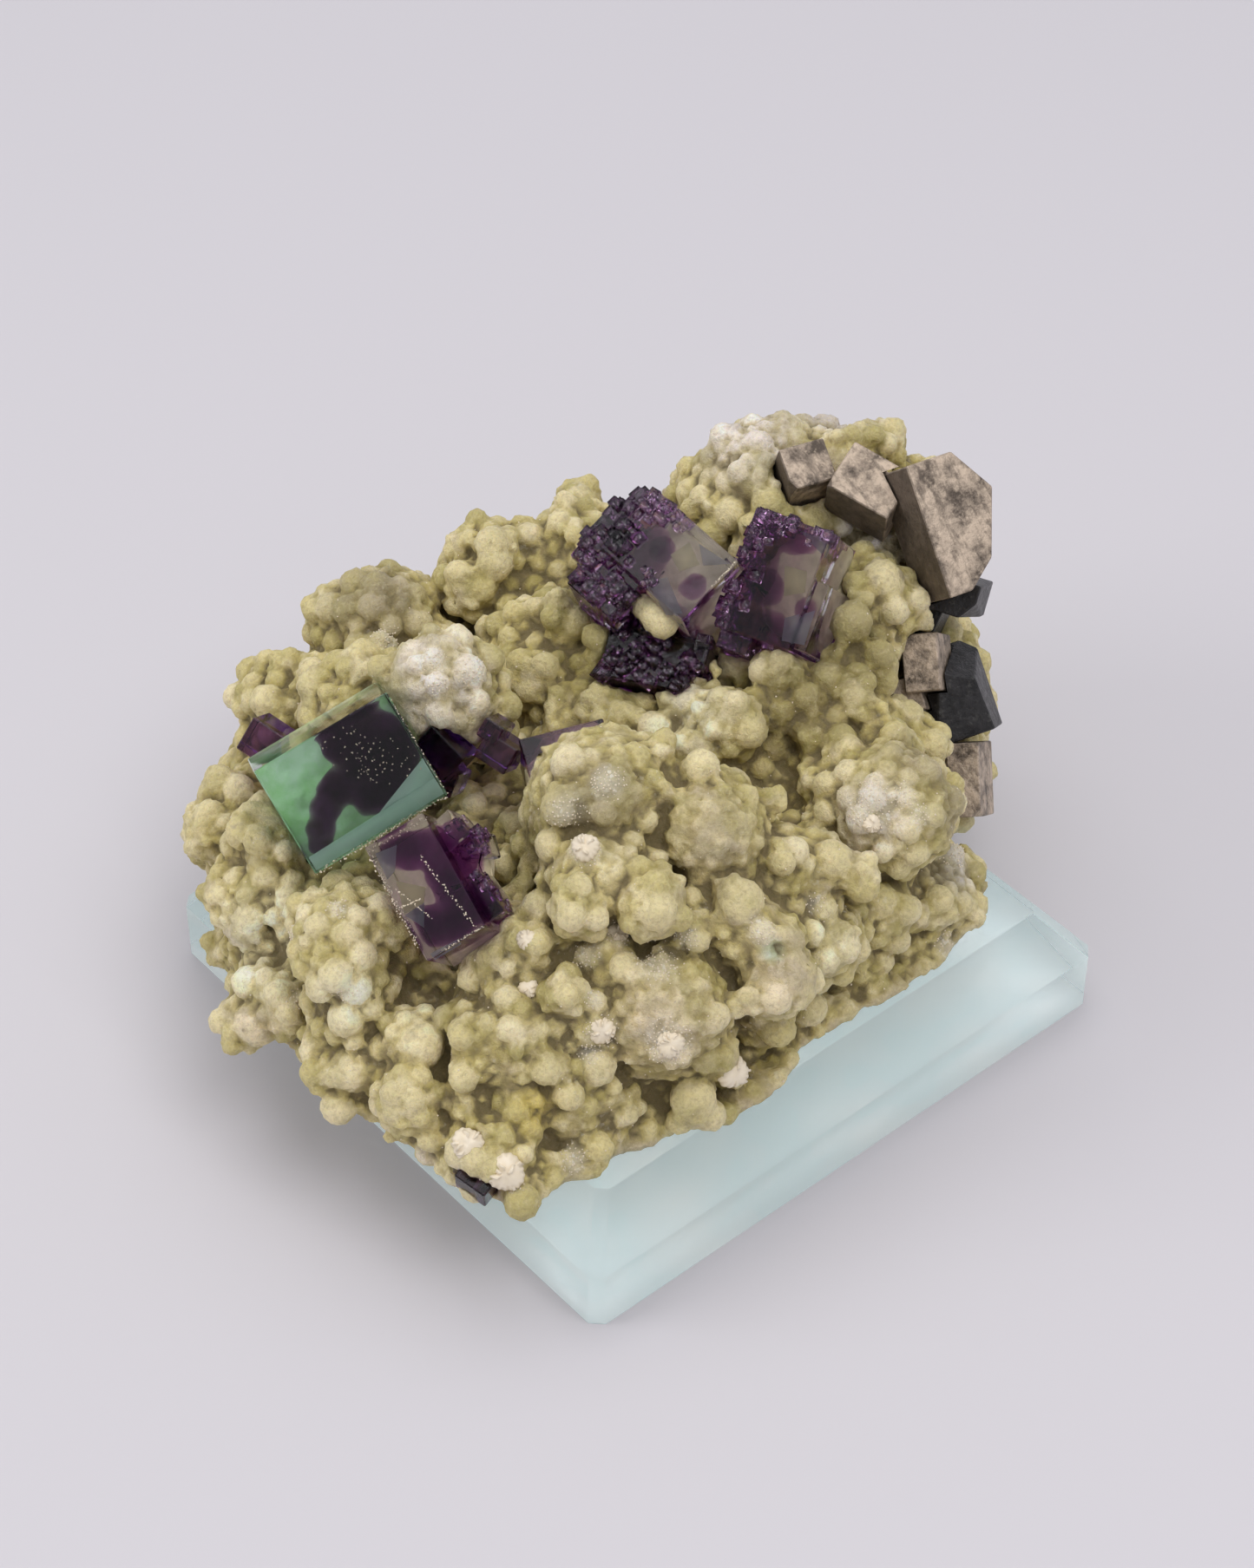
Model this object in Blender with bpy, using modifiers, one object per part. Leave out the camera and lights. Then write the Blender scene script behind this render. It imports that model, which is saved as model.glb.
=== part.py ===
"""Clear and metallic crystals on a lumpy dolomite rock, resting on a bevelled glass stand.

The origin is under the middle of the stand. +X runs to the right along the stand's front side,
+Y to the back and +Z up. Sizes are in millimetres times MM.
"""

import math
import random

import bmesh
import bpy
from mathutils import Euler, Matrix, Vector

MM = 0.001

# Driving dimensions, in millimetres
STAND_SIDE = 80.0
STAND_THICKNESS = 15.0
STAND_EDGE_HEIGHT = 8.2  # upright part of each side, below the slope
STAND_SLOPE_INSET = 5.2
STAND_CORNER = 2.0
FIT_GAP = 0.3  # left between pieces that touch
REST_HEIGHT = STAND_THICKNESS + FIT_GAP
MATRIX_GRAIN = 0.75  # voxel that the lumps are fused with
MATRIX_SHARE = 0.0412  # part of the fused triangles that is kept
EDGE_BREAK = 0.15  # tiny chamfer on the crystals' edges
SEED = 41

# Rock body: (middle), (half sizes), in millimetres
CORE = [
    ((-2, 0, 15), (42, 30, 21)),
    ((-28, 8, 15), (20, 26, 19)),
    ((30, 9, 17), (26, 26, 23)),
    ((-35, -17, 15), (12, 12, 10)),
    ((14, -19, 15), (14, 12, 15)),
    ((4, 28, 16), (30, 13, 19)),
    ((37, 19, 30), (18, 14, 16)),
    ((-16, 33, 18), (22, 11, 14)),
    ((43, -1, 22), (9, 9, 16)),
]

# Thin broken plate that shows as the straight lower edge: middle, size, turn about Z in degrees
PLATE = ((-9, -19, 15), (66, 25, 6), 0)

# Rounded lumps that stand out of the body: (middle), radius
LUMPS = {
    "front lobe": ((-19, -26, 27), 8.4),
    "front lobe foot": ((-31, -25, 21), 5.6),
    "front lobe side": ((-27, -23, 30), 4.6),
    "second front lobe": ((-7, -29, 31), 6.2),
    "second front lobe foot": ((-7, -28, 22), 5.0),
    "front shoulder": ((2, -30, 28), 4.6),
    "front shoulder ball": ((-9, -27, 37), 4.0),
    "right cluster": ((18, -20, 31), 8.6),
    "right cluster foot": ((14, -25, 23), 6.4),
    "right ledge": ((23, -27, 18), 5.2),
    "right ledge end": ((27, -26, 18), 4.4),
    "crest": ((-12, -9, 42), 9.4),
    "crest right": ((-5, -17, 40), 7.6),
    "crest front": ((-19, -16, 40), 6.2),
    "crest low right": ((1, -24, 34), 6.2),
    "middle slope": ((-28, -13, 31), 7.6),
    "olive dome": ((-35, -19, 27), 6.0),
    "low left slope": ((-42, -12, 21), 6.2),
    "front tip": ((-41, -24, 18), 5.6),
    "left lump": ((-43, -2, 28), 5.4),
    "left upper lump": ((-40, 3, 31), 6.0),
    "left low lump": ((-46, 8, 20), 4.6),
    "left foot": ((-46, -5, 20), 4.8),
    "left flank": ((-41, 18, 26), 6.0),
    "left end": ((-36, 31, 26), 5.4),
    "left shoulder": ((-37, 19, 31), 6.0),
    "mound": ((-17, 15, 44), 7.4),
    "mound foot": ((-20, 27, 37), 6.4),
    "brown dome": ((-8, 37, 35), 7.6),
    "left back": ((-21, 38, 30), 6.4),
    "back ridge": ((7, 33, 38), 6.4),
    "back ridge right": ((15, 28, 41), 6.4),
    "valley slope": ((4, 21, 36), 7.4),
    "valley": ((2, 7, 33), 7.6),
    "left purple seat": ((12, 12, 40), 8.0),
    "right purple seat": ((24, 3, 40), 8.0),
    "valley right": ((9, -3, 35), 6.6),
    "right slope": ((22, -9, 36), 7.6),
    "right wall": ((28, -14, 31), 6.2),
    "right upper slope": ((34, -2, 40), 7.2),
    "back top": ((36, 19, 45), 8.4),
    "back peak": ((43, 13, 46), 7.6),
    "back right": ((48, 5, 42), 7.0),
    "back foot": ((20, 37, 22), 9.0),
    "right foot": ((38, -12, 20), 6.4),
}

# Single round balls that are easy to pick out: (middle), radius
BALLS = [
    ((-18, -24, 41), 2.6),
    ((-13, -35, 32), 2.1),
    ((-20, -34, 20), 2.7),
    ((-14, -33, 19), 2.2),
    ((6, -28, 37), 2.2),
    ((7, -31, 36), 2.8),
    ((3, -21, 43), 1.9),
    ((4, 19, 46), 2.2),
    ((17, -6, 44), 3.0),
    ((23, -13, 43), 2.2),
    ((12, 2, 43), 2.4),
    ((7, 2, 42), 2.2),
    ((9, 5, 53), 2.2),
    ((28, -7, 47), 2.4),
]

# Lumps that stay smooth but for a few balls
SMOOTH = ("front lobe", "second front lobe", "crest", "crest right", "right cluster foot")
SMOOTH_SHARE = 0.4

BALL_RADII = (1.3, 2.8)
BALL_SPACING = 1.3  # in ball radii
BALL_TRIES = 6000
RIM_CRUMBS = 46
RIM_FROM_TO = ((-44, -30.5), (25, -30.5))


def parts_collection(name):
    collection = bpy.data.collections.new(name)
    bpy.context.scene.collection.children.link(collection)
    return collection


def material(name, colour, roughness, metallic=0.0, transmission=0.0, ior=1.5):
    made = bpy.data.materials.new(name)
    made.use_nodes = True
    shader = made.node_tree.nodes["Principled BSDF"]
    shader.inputs["Base Color"].default_value = (*colour, 1.0)
    shader.inputs["Roughness"].default_value = roughness
    shader.inputs["Metallic"].default_value = metallic
    shader.inputs["Transmission Weight"].default_value = transmission
    shader.inputs["IOR"].default_value = ior
    made.diffuse_color = (*colour, 1.0)
    return made


def new_object(name, bm, collection, look=None):
    mesh = bpy.data.meshes.new(name)
    bm.to_mesh(mesh)
    bm.free()
    obj = bpy.data.objects.new(name, mesh)
    collection.objects.link(obj)
    if look:
        mesh.materials.append(look)
    return obj


def as_cutter(obj):
    obj.hide_render = True
    obj.display_type = "WIRE"
    return obj


def boolean(obj, other, operation):
    step = obj.modifiers.new(f"{operation.lower()} {other.name}", "BOOLEAN")
    step.operation = operation
    step.solver = "EXACT"
    step.object = other


def add_ball(bm, middle, half_sizes, detail=3):
    """A round lump, in millimetres."""
    place = Matrix.Translation(Vector(middle) * MM) @ Matrix.Diagonal((*half_sizes, 1.0))
    bmesh.ops.create_icosphere(bm, subdivisions=detail, radius=MM, matrix=place)


def add_block(bm, size, offset=(0, 0, 0), turn=(0, 0, 0)):
    """A box of this size, in millimetres, moved and turned in the crystal's own frame."""
    spin = Euler([math.radians(a) for a in turn]).to_matrix().to_4x4()
    place = Matrix.Translation(Vector(offset) * MM) @ spin @ Matrix.Diagonal((*size, 1.0))
    return bmesh.ops.create_cube(bm, size=MM, matrix=place)["verts"]


def pose(obj, middle, turn):
    obj.location = Vector(middle) * MM
    obj.rotation_euler = [math.radians(a) for a in turn]


# Crystals: place, turn in degrees and blocks as (size, offset, turn), all in millimetres and
# in the crystal's own frame, where +Z looks out of the rock. A cut is (point, way it faces).
CRYSTALS = {
    "green_fluorite_cube": {
        "middle": (-31.7, 13.9, 42.6),
        "turn": (51, -19, -15),
        "blocks": [((17.4, 13.6, 15.0), (0, 0, 0), (0, 0, 0))],
        "look": "green fluorite",
    },
    "purple_fluorite_front": {
        "middle": (-34, -6, 40.6),
        "turn": (32, 29, -97),
        "blocks": [
            ((14.6, 7.6, 12.0), (0, 0, 0), (0, 0, 0)),
            ((3.8, 3.6, 8.0), (-4.6, 4.6, -1.0), (0, 0, 12)),
            ((2.8, 3.0, 7.0), (-2.4, 6.0, -1.8), (0, 0, -15)),
            ((5.6, 2.8, 8.0), (3.6, 4.2, -1.4), (0, 0, 6)),
        ],
        "look": "purple fluorite",
    },
    "purple_fluorite_upper_left": {
        "middle": (13.3, 11, 50.5),
        "turn": (18, -28, -2),
        "blocks": [
            ((9.6, 13.6, 13.0), (1.4, -1.4, 0), (0, 0, 0)),
            ((7.4, 6.4, 12.0), (-5.0, 2.0, -0.6), (0, 0, 0)),
            ((6.6, 5.0, 11.6), (-0.6, 6.0, -0.8), (0, 0, 0)),
            ((3.2, 4.6, 11.0), (-7.4, 3.2, 0.2), (0, 0, 0)),
            ((4.4, 3.2, 11.4), (-3.6, 5.6, 0.2), (0, 0, 0)),
            ((3.4, 4.2, 11.0), (3.6, 5.0, 0.6), (0, 0, 0)),
            ((2.8, 2.8, 12.0), (-5.8, 0.6, 0.6), (0, 0, 0)),
            ((10.4, 7.8, 10.0), (-8.0, -5.8, -5.0), (0, 0, -60)),
            ((5.0, 4.4, 8.4), (-4.4, -8.8, -5.2), (0, 0, -60)),
        ],
        "look": "purple fluorite",
    },
    "purple_fluorite_upper_right": {
        "middle": (23.5, -0.3, 49.3),
        "turn": (44, 2, -67),
        "blocks": [
            ((9.6, 14.6, 13.0), (-0.4, 0.4, 0), (0, 0, 0)),
            ((4.4, 7.0, 11.0), (-5.0, -2.4, -0.8), (0, 0, 0)),
            ((2.8, 8.4, 11.0), (4.4, -2.2, -1.0), (0, 0, 0)),
            ((4.0, 3.0, 10.0), (-3.0, -7.6, -1.4), (0, 0, 0)),
        ],
        "look": "purple fluorite",
    },
    "purple_fluorite_small_1": {
        "middle": (-31.5, 30, 37),
        "turn": (55, 17, -71),
        "blocks": [((4.4, 4.4, 5.0), (0, 0, 0), (0, 0, 0))],
        "look": "dark fluorite",
    },
    "purple_fluorite_small_2": {
        "middle": (-21, 9.5, 43),
        "turn": (52, 27, -79),
        "blocks": [
            ((5.4, 4.6, 6.0), (0, 0, 0), (0, 0, 0)),
            ((3.0, 3.0, 5.0), (2.6, -1.8, -0.4), (0, 0, 20)),
        ],
        "look": "dark fluorite",
    },
    "purple_fluorite_small_3": {
        "middle": (-15.6, 5.4, 43),
        "turn": (55, 17, -71),
        "blocks": [
            ((4.2, 3.4, 5.0), (0, 0, 0), (0, 0, 0)),
            ((2.6, 2.4, 4.6), (-1.8, 1.8, 0.3), (0, 0, 0)),
        ],
        "look": "dark fluorite",
    },
    "purple_fluorite_small_4": {
        "middle": (-11.2, -1.2, 42.6),
        "turn": (23, -6, -26),
        "blocks": [((10.0, 6.0, 8.0), (0, 0, 0), (0, 0, 0))],
        "look": "dark fluorite",
    },
    "purple_fluorite_small_5": {
        "middle": (-45.8, -26.6, 18.4),
        "turn": (19, 14, -74),
        "blocks": [
            ((4.2, 3.0, 4.0), (0, 0, 0), (0, 0, 0)),
            ((2.4, 2.2, 3.2), (-2.4, 0.8, 0.2), (0, 0, 20)),
        ],
        "look": "dark fluorite",
    },
    "bronze_crystal_main": {
        "middle": (45, -5.4, 51.3),
        "turn": (4, 47, -102),
        "blocks": [((16.4, 9.8, 10.0), (0, 0, 0), (0, 0, 0))],
        "cuts": [
            ((-4.4, 4.2, 0), (-0.55, 0.84, 0.1)),
            ((4.5, 2.6, 0), (0.35, 0.94, 0.1)),
            ((7.2, 1.0, 0), (0.75, 0.6, 0.2)),
            ((8.2, -4.9, 5.0), (0.5, -0.3, 0.8)),
        ],
        "look": "bronze crystal",
    },
    "bronze_crystal_second": {
        "middle": (41.3, 4.7, 52),
        "turn": (26, 15, -69),
        "blocks": [((8.4, 6.6, 8.0), (0, 0, 0), (0, 0, 0))],
        "cuts": [((4.2, 1.6, 3.4), (0.8, 0.5, 0.3)), ((-4.2, -2.0, 4.0), (-0.6, -0.4, 0.7))],
        "look": "bronze crystal",
    },
    "bronze_crystal_third": {
        "middle": (37.3, 12, 52.4),
        "turn": (30, -5, -22),
        "blocks": [((5.8, 5.4, 7.0), (0, 0, 0), (0, 0, 0))],
        "cuts": [((-2.6, -2.0, 3.2), (-0.8, -0.5, 0.2))],
        "look": "bronze crystal",
    },
    "bronze_crystal_lower": {
        "middle": (38.2, -10, 36),
        "turn": (22, 45, -124),
        "blocks": [
            ((7.0, 4.4, 8.0), (0, 0, 0), (0, 0, 0)),
            ((4.4, 3.4, 7.0), (3.8, -2.2, -0.8), (0, 0, 14)),
        ],
        "cuts": [((-3.4, 1.8, 3.4), (-0.6, 0.6, 0.5))],
        "look": "bronze crystal",
    },
    "bronze_crystal_foot": {
        "middle": (37, -19.6, 24.4),
        "turn": (20, 49, -127),
        "blocks": [
            ((9.0, 4.0, 8.0), (0, 0, 0), (0, 0, 0)),
            ((6.0, 3.0, 7.0), (-1.6, -3.2, -0.9), (0, 0, -18)),
        ],
        "cuts": [((4.0, 1.8, 3.0), (0.7, 0.5, 0.3))],
        "look": "bronze crystal",
    },
    "black_crystal_right": {
        "middle": (39.4, -12.7, 32.2),
        "turn": (37, 46, -103),
        "blocks": [((11.4, 8.6, 9.0), (0, 0, 0), (0, 0, 0))],
        "cuts": [
            ((-3.6, 1.6, 2.0), (-0.72, 0.62, 0.32)),
            ((-3.8, -2.4, 2.0), (-0.75, -0.6, 0.3)),
            ((4.4, -2.6, 2.0), (0.5, -0.8, 0.3)),
            ((1.0, 1.0, 3.6), (0.25, 0.35, 0.9)),
            ((0.5, -2.4, 3.2), (-0.1, -0.55, 0.83)),
        ],
        "look": "black crystal",
    },
    "black_crystal_upper": {
        "middle": (45, -7, 41.6),
        "turn": (56, 4, -62),
        "blocks": [
            ((7.4, 4.4, 8.6), (0, 0, 0), (0, 0, 0)),
            ((4.0, 6.6, 7.4), (-2.6, -4.4, -1.0), (0, 0, -10)),
        ],
        "cuts": [((3.0, -1.2, 3.4), (0.8, -0.6, 0.2)), ((-1.0, 1.6, 3.8), (-0.3, 0.6, 0.7))],
        "look": "black crystal",
    },
}

LOOKS = {
    "stand glass": ((0.86, 0.95, 0.95), 0.02, 0.0, 1.0, 1.5),
    "dolomite": ((0.52, 0.47, 0.26), 0.6, 0.0, 0.0, 1.5),
    "green fluorite": ((0.45, 0.80, 0.60), 0.03, 0.0, 1.0, 1.434),
    "purple fluorite": ((0.42, 0.28, 0.52), 0.05, 0.0, 0.9, 1.434),
    "dark fluorite": ((0.12, 0.06, 0.16), 0.1, 0.0, 0.6, 1.434),
    "bronze crystal": ((0.36, 0.30, 0.25), 0.35, 0.9, 0.0, 1.5),
    "black crystal": ((0.02, 0.02, 0.025), 0.25, 0.0, 0.0, 1.7),
}


def build_stand(parts, looks):
    """Square block whose top edges slope, and whose upright corners are cut a little."""
    bm = bmesh.new()
    half = STAND_SIDE / 2
    verts = add_block(bm, (STAND_SIDE, STAND_SIDE, STAND_THICKNESS), (0, 0, STAND_THICKNESS / 2))
    upright = [e for e in bm.edges if abs(e.verts[0].co.z - e.verts[1].co.z) > MM]
    bmesh.ops.bevel(
        bm, geom=upright, offset=STAND_CORNER * MM, offset_type="WIDTH", segments=1, affect="EDGES"
    )
    middle_height = STAND_EDGE_HEIGHT * MM
    cut = bmesh.ops.bisect_plane(
        bm, geom=bm.verts[:] + bm.edges[:] + bm.faces[:], plane_co=(0, 0, middle_height),
        plane_no=(0, 0, 1),
    )
    del verts, cut
    shrink = (half - STAND_SLOPE_INSET) / half
    for vert in bm.verts:
        if vert.co.z > middle_height + MM:
            vert.co.x *= shrink
            vert.co.y *= shrink
    return new_object("glass_base", bm, parts, looks["stand glass"])


def inside(point, middle, half_sizes, margin):
    """Whether the point lies deeper than the margin in this ellipsoid."""
    share = sum(((p - m) / (h - margin)) ** 2 for p, m, h in zip(point, middle, half_sizes))
    return share < 1.0


def in_crystal(point, margin):
    """Whether a ball of this radius would cover the crystal's faces."""
    for facts in CRYSTALS.values():
        turn = Euler([math.radians(a) for a in facts["turn"]]).to_matrix().inverted()
        local = turn @ (point - Vector(facts["middle"]))
        for size, offset, _ in facts["blocks"]:
            gaps = [abs(a - o) - s / 2 for a, o, s in zip(local, offset, size)]
            if max(gaps[:2]) < 0.4 * margin and gaps[2] < margin:
                return True
    return False


def small_balls(picker):
    """Balls all over the outside of the rock, as (middle, radius), none buried in another."""
    rounds = [(middle, (radius,) * 3) for middle, radius in LUMPS.values()] + CORE
    weights = [sizes[0] * sizes[1] + sizes[1] * sizes[2] for _, sizes in rounds]
    for number, name in enumerate(LUMPS):
        weights[number] *= SMOOTH_SHARE if name in SMOOTH else 1.0
    found = []
    for _ in range(BALL_TRIES):
        middle, sizes = picker.choices(rounds, weights)[0]
        way = Vector([picker.gauss(0, 1) for _ in range(3)]).normalized()
        size = BALL_RADII[0] + (BALL_RADII[1] - BALL_RADII[0]) * picker.random() ** 1.6
        place = Vector([m + w * (h + 0.1 * size) for m, w, h in zip(middle, way, sizes)])
        if place.z < REST_HEIGHT + 0.1 * size:
            continue
        if any(inside(place, *other, 0.25 * size) for other in rounds):
            continue
        if in_crystal(place, size):
            continue
        near = BALL_SPACING * size
        if any((place - other).length < 0.5 * (near + BALL_SPACING * r) for other, r in found):
            continue
        found.append((place, size))
    return found


def rim_crumbs(picker):
    """Broken crumbs along the plate's lower edge."""
    (x0, y0), (x1, y1) = RIM_FROM_TO
    found = []
    for step in range(RIM_CRUMBS):
        share = (step + picker.uniform(-0.4, 0.4)) / (RIM_CRUMBS - 1)
        size = picker.uniform(1.0, 2.1)
        place = (
            x0 + (x1 - x0) * share,
            y0 + (y1 - y0) * share + picker.uniform(-1.0, 0.8),
            picker.uniform(15.5, 18.0),
        )
        found.append((place, size))
    return found


def build_matrix(parts, cutters, looks, pockets):
    """Lumps and balls fused into one body, thinned, cut flat below and pocketed for the crystals."""
    bm = bmesh.new()
    for middle, half_sizes in CORE:
        add_ball(bm, middle, half_sizes, 4)
    middle, size, turn = PLATE
    add_block(bm, size, middle, (0, 0, turn))
    for middle, radius in LUMPS.values():
        add_ball(bm, middle, (radius,) * 3)
    picker = random.Random(SEED)
    for middle, radius in BALLS + small_balls(picker) + rim_crumbs(picker):
        add_ball(bm, middle, (radius,) * 3, 2)
    rock = new_object("dolomite_matrix", bm, parts, looks["dolomite"])
    fuse = rock.modifiers.new("fuse lumps", "REMESH")
    fuse.mode = "VOXEL"
    fuse.voxel_size = MATRIX_GRAIN * MM
    thin = rock.modifiers.new("thin out", "DECIMATE")
    thin.ratio = MATRIX_SHARE
    round_off = rock.modifiers.new("round off", "SMOOTH")
    round_off.factor = 0.45
    round_off.iterations = 1
    bm = bmesh.new()
    add_block(bm, (200, 200, 60), (0, 0, REST_HEIGHT - 30))
    boolean(rock, as_cutter(new_object("underside_cutter", bm, cutters)), "DIFFERENCE")
    for pocket in pockets:
        boolean(rock, pocket, "DIFFERENCE")
    keep_largest_body(rock)
    return rock


def keep_largest_body(obj):
    """Applies the modifiers and drops crumbs that the pockets have cut free."""
    bpy.context.view_layer.update()
    graph = bpy.context.evaluated_depsgraph_get()
    bm = bmesh.new()
    bm.from_mesh(obj.evaluated_get(graph).to_mesh())
    unseen = set(bm.verts)
    bodies = []
    while unseen:
        body = set()
        front = [unseen.pop()]
        while front:
            vert = front.pop()
            body.add(vert)
            near = [edge.other_vert(vert) for edge in vert.link_edges]
            fresh = [other for other in near if other in unseen]
            unseen.difference_update(fresh)
            front += fresh
        bodies.append(body)
    bodies.sort(key=len)
    for body in bodies[:-1]:
        bmesh.ops.delete(bm, geom=list(body), context="VERTS")
    obj.modifiers.clear()
    bm.to_mesh(obj.data)
    bm.free()
    obj.data.shade_smooth()


def cut_corner(bm, point, facing):
    """Slices off what lies past a plane and closes the cut."""
    whole = bm.verts[:] + bm.edges[:] + bm.faces[:]
    cut = bmesh.ops.bisect_plane(
        bm, geom=whole, plane_co=Vector(point) * MM, plane_no=facing, clear_outer=True
    )
    rim = [item for item in cut["geom_cut"] if isinstance(item, bmesh.types.BMEdge)]
    if rim:
        bmesh.ops.contextual_create(bm, geom=rim)
        bmesh.ops.recalc_face_normals(bm, faces=bm.faces[:])


def crystal_block(facts, number, grow, edge_break):
    """One block of a crystal with its corners cut, made larger all round by grow."""
    size, offset, turn = facts["blocks"][number]
    bm = bmesh.new()
    add_block(bm, [side + 2 * grow for side in size], offset, turn)
    for point, facing in facts.get("cuts", []) if number == 0 else []:
        cut_corner(bm, Vector(point) + Vector(facing).normalized() * grow, facing)
    if edge_break:
        bmesh.ops.bevel(bm, geom=bm.edges[:], offset=edge_break * MM, segments=1, affect="EDGES")
    bmesh.ops.triangulate(bm, faces=bm.faces[:])
    return bm


def joined_blocks(name, facts, grow, edge_break, home, cutters, look):
    """A crystal's blocks joined in one solid."""
    whole = None
    for number in range(len(facts["blocks"])):
        bm = crystal_block(facts, number, grow, edge_break)
        if whole is None:
            whole = new_object(name, bm, home, look)
            pose(whole, facts["middle"], facts["turn"])
        else:
            block = as_cutter(new_object(f"{name}_block_{number}", bm, cutters))
            pose(block, facts["middle"], facts["turn"])
            boolean(whole, block, "UNION")
    return whole


def build_crystal(name, facts, parts, cutters, looks):
    """One crystal, and the cutter that is its shape with the gap round it."""
    look = looks[facts["look"]]
    crystal = joined_blocks(name, facts, 0.0, EDGE_BREAK, parts, cutters, look)
    pocket = joined_blocks(f"{name}_pocket", facts, FIT_GAP, 0.0, cutters, cutters, None)
    return crystal, as_cutter(pocket)


def main():
    for obj in list(bpy.data.objects):
        bpy.data.objects.remove(obj, do_unlink=True)
    parts = parts_collection("fluorite on dolomite matrix")
    cutters = parts_collection("cutters")
    looks = {name: material(name, *values) for name, values in LOOKS.items()}
    build_stand(parts, looks)
    made = {}
    for name, facts in CRYSTALS.items():
        made[name] = build_crystal(name, facts, parts, cutters, looks)
    # Where two crystals meet, the later one gives way to the earlier one
    for later, earlier in (
        ("purple_fluorite_front", "green_fluorite_cube"),
        ("purple_fluorite_small_2", "green_fluorite_cube"),
        ("purple_fluorite_small_1", "green_fluorite_cube"),
        ("purple_fluorite_small_4", "purple_fluorite_small_3"),
        ("purple_fluorite_upper_right", "purple_fluorite_upper_left"),
        ("bronze_crystal_second", "bronze_crystal_main"),
        ("bronze_crystal_third", "bronze_crystal_second"),
        ("black_crystal_upper", "bronze_crystal_main"),
        ("black_crystal_upper", "bronze_crystal_lower"),
        ("black_crystal_right", "bronze_crystal_lower"),
        ("bronze_crystal_foot", "black_crystal_right"),
    ):
        boolean(made[later][0], made[earlier][1], "DIFFERENCE")
    pockets = [pocket for _, pocket in made.values()]
    build_matrix(parts, cutters, looks, pockets)


main()
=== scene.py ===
"""Looks of the fluorite crystals on lumpy dolomite: a fine rock, clear crystals, glass and light.

Unless a comment says otherwise, numbers are in millimetres, turned to metres by MM, and a round
part of the photograph is pixel across, pixel down and radius in pixels. What is given in pixels is
set on the rock that it is seen on. A form is two arrays: corners in metres, and triangles.
"""

import math
import random

import bmesh
import bpy
import numpy as np
from mathutils import Euler, Matrix, Vector
from mathutils.bvhtree import BVHTree
from mathutils.kdtree import KDTree


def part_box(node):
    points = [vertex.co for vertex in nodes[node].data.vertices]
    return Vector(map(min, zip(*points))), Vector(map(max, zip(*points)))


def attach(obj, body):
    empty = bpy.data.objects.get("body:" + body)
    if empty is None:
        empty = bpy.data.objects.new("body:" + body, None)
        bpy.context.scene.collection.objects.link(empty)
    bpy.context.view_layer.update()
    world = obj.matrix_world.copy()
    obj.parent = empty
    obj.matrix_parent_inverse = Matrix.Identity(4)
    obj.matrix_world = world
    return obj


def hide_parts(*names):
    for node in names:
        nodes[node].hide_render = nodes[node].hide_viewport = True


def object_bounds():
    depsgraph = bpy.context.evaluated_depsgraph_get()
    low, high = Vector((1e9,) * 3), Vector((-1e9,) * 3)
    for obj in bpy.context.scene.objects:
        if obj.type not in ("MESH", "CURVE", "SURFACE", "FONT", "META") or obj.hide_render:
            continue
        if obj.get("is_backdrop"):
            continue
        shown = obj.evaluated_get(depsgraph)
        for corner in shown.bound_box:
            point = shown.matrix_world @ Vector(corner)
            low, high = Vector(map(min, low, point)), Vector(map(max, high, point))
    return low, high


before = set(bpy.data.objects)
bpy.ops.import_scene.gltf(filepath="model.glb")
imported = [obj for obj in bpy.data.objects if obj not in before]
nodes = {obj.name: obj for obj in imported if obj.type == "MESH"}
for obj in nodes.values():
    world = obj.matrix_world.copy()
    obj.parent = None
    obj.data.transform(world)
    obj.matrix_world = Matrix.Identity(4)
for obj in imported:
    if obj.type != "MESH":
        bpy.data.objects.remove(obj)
cad_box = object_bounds()

MM = 0.001
SEED = 7

# Camera, and the photograph's size in pixels
PHOTO_SIZE = (1445, 1807)
FOCAL_PX = 4200.0
CAMERA_AT = Vector((-206.08, -239.77, 326.88))
FORWARD = (Vector((21.64, 26.78, 0.0)) - CAMERA_AT).normalized()
RIGHT = FORWARD.cross(Vector((0, 0, 1))).normalized()
UP = RIGHT.cross(FORWARD)
SENSOR = 36.0

# Stage: light in watts, and metres for all but the heights
FLOOR_AT = -0.1
FLOOR_HALF = 3.0
CARD_AT = 0.02  # the card touches the glass, so that no light is trapped between them
CARD_SHRINK = 0.9995  # and is a hair smaller
SURROUND = (0.93, 0.94, 1.0, 1.0)
SURROUND_STRENGTH = 0.56
LIGHTS = (  # name, place, aim, size and power
    ("top light", (0.10, 0.20, 0.95), (0, 0, 0.02), 0.8, 2.4),
    ("front light", (-0.04, -0.47, 0.88), (0, 0, 0.02), 0.5, 3.0),
    ("left light", (-0.75, 0.43, 0.50), (0, 0, 0.03), 0.5, 2.2),
)

# Crystals with zones of their own
GREEN = "green_fluorite_cube"
FRONT = "purple_fluorite_front"
UPPER_LEFT = "purple_fluorite_upper_left"
UPPER_RIGHT = "purple_fluorite_upper_right"

# Fine rock: voxels that forms are fused with, and how much is made
GROUND_GRAIN = 0.36
GRAIN = 0.30
ZONE_GRAIN = 0.35
MOST_FACES = 190000
SUGAR_GRAINS = 4400
SUGAR_SIZES = (0.10, 0.22)
SUGAR_BARE = 0.002  # share of grains that parts without a sugary skin get

# Waves of a skin: size and height
UNEVEN = (6.0, 1.6)
LUMPS = (1.7, 0.5)
SMALL_LUMPS = (0.6, 0.34)
ZONE_WAVES = (2.0, 1.1)
ZONE_LUMPS = (0.7, 0.5)

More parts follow.
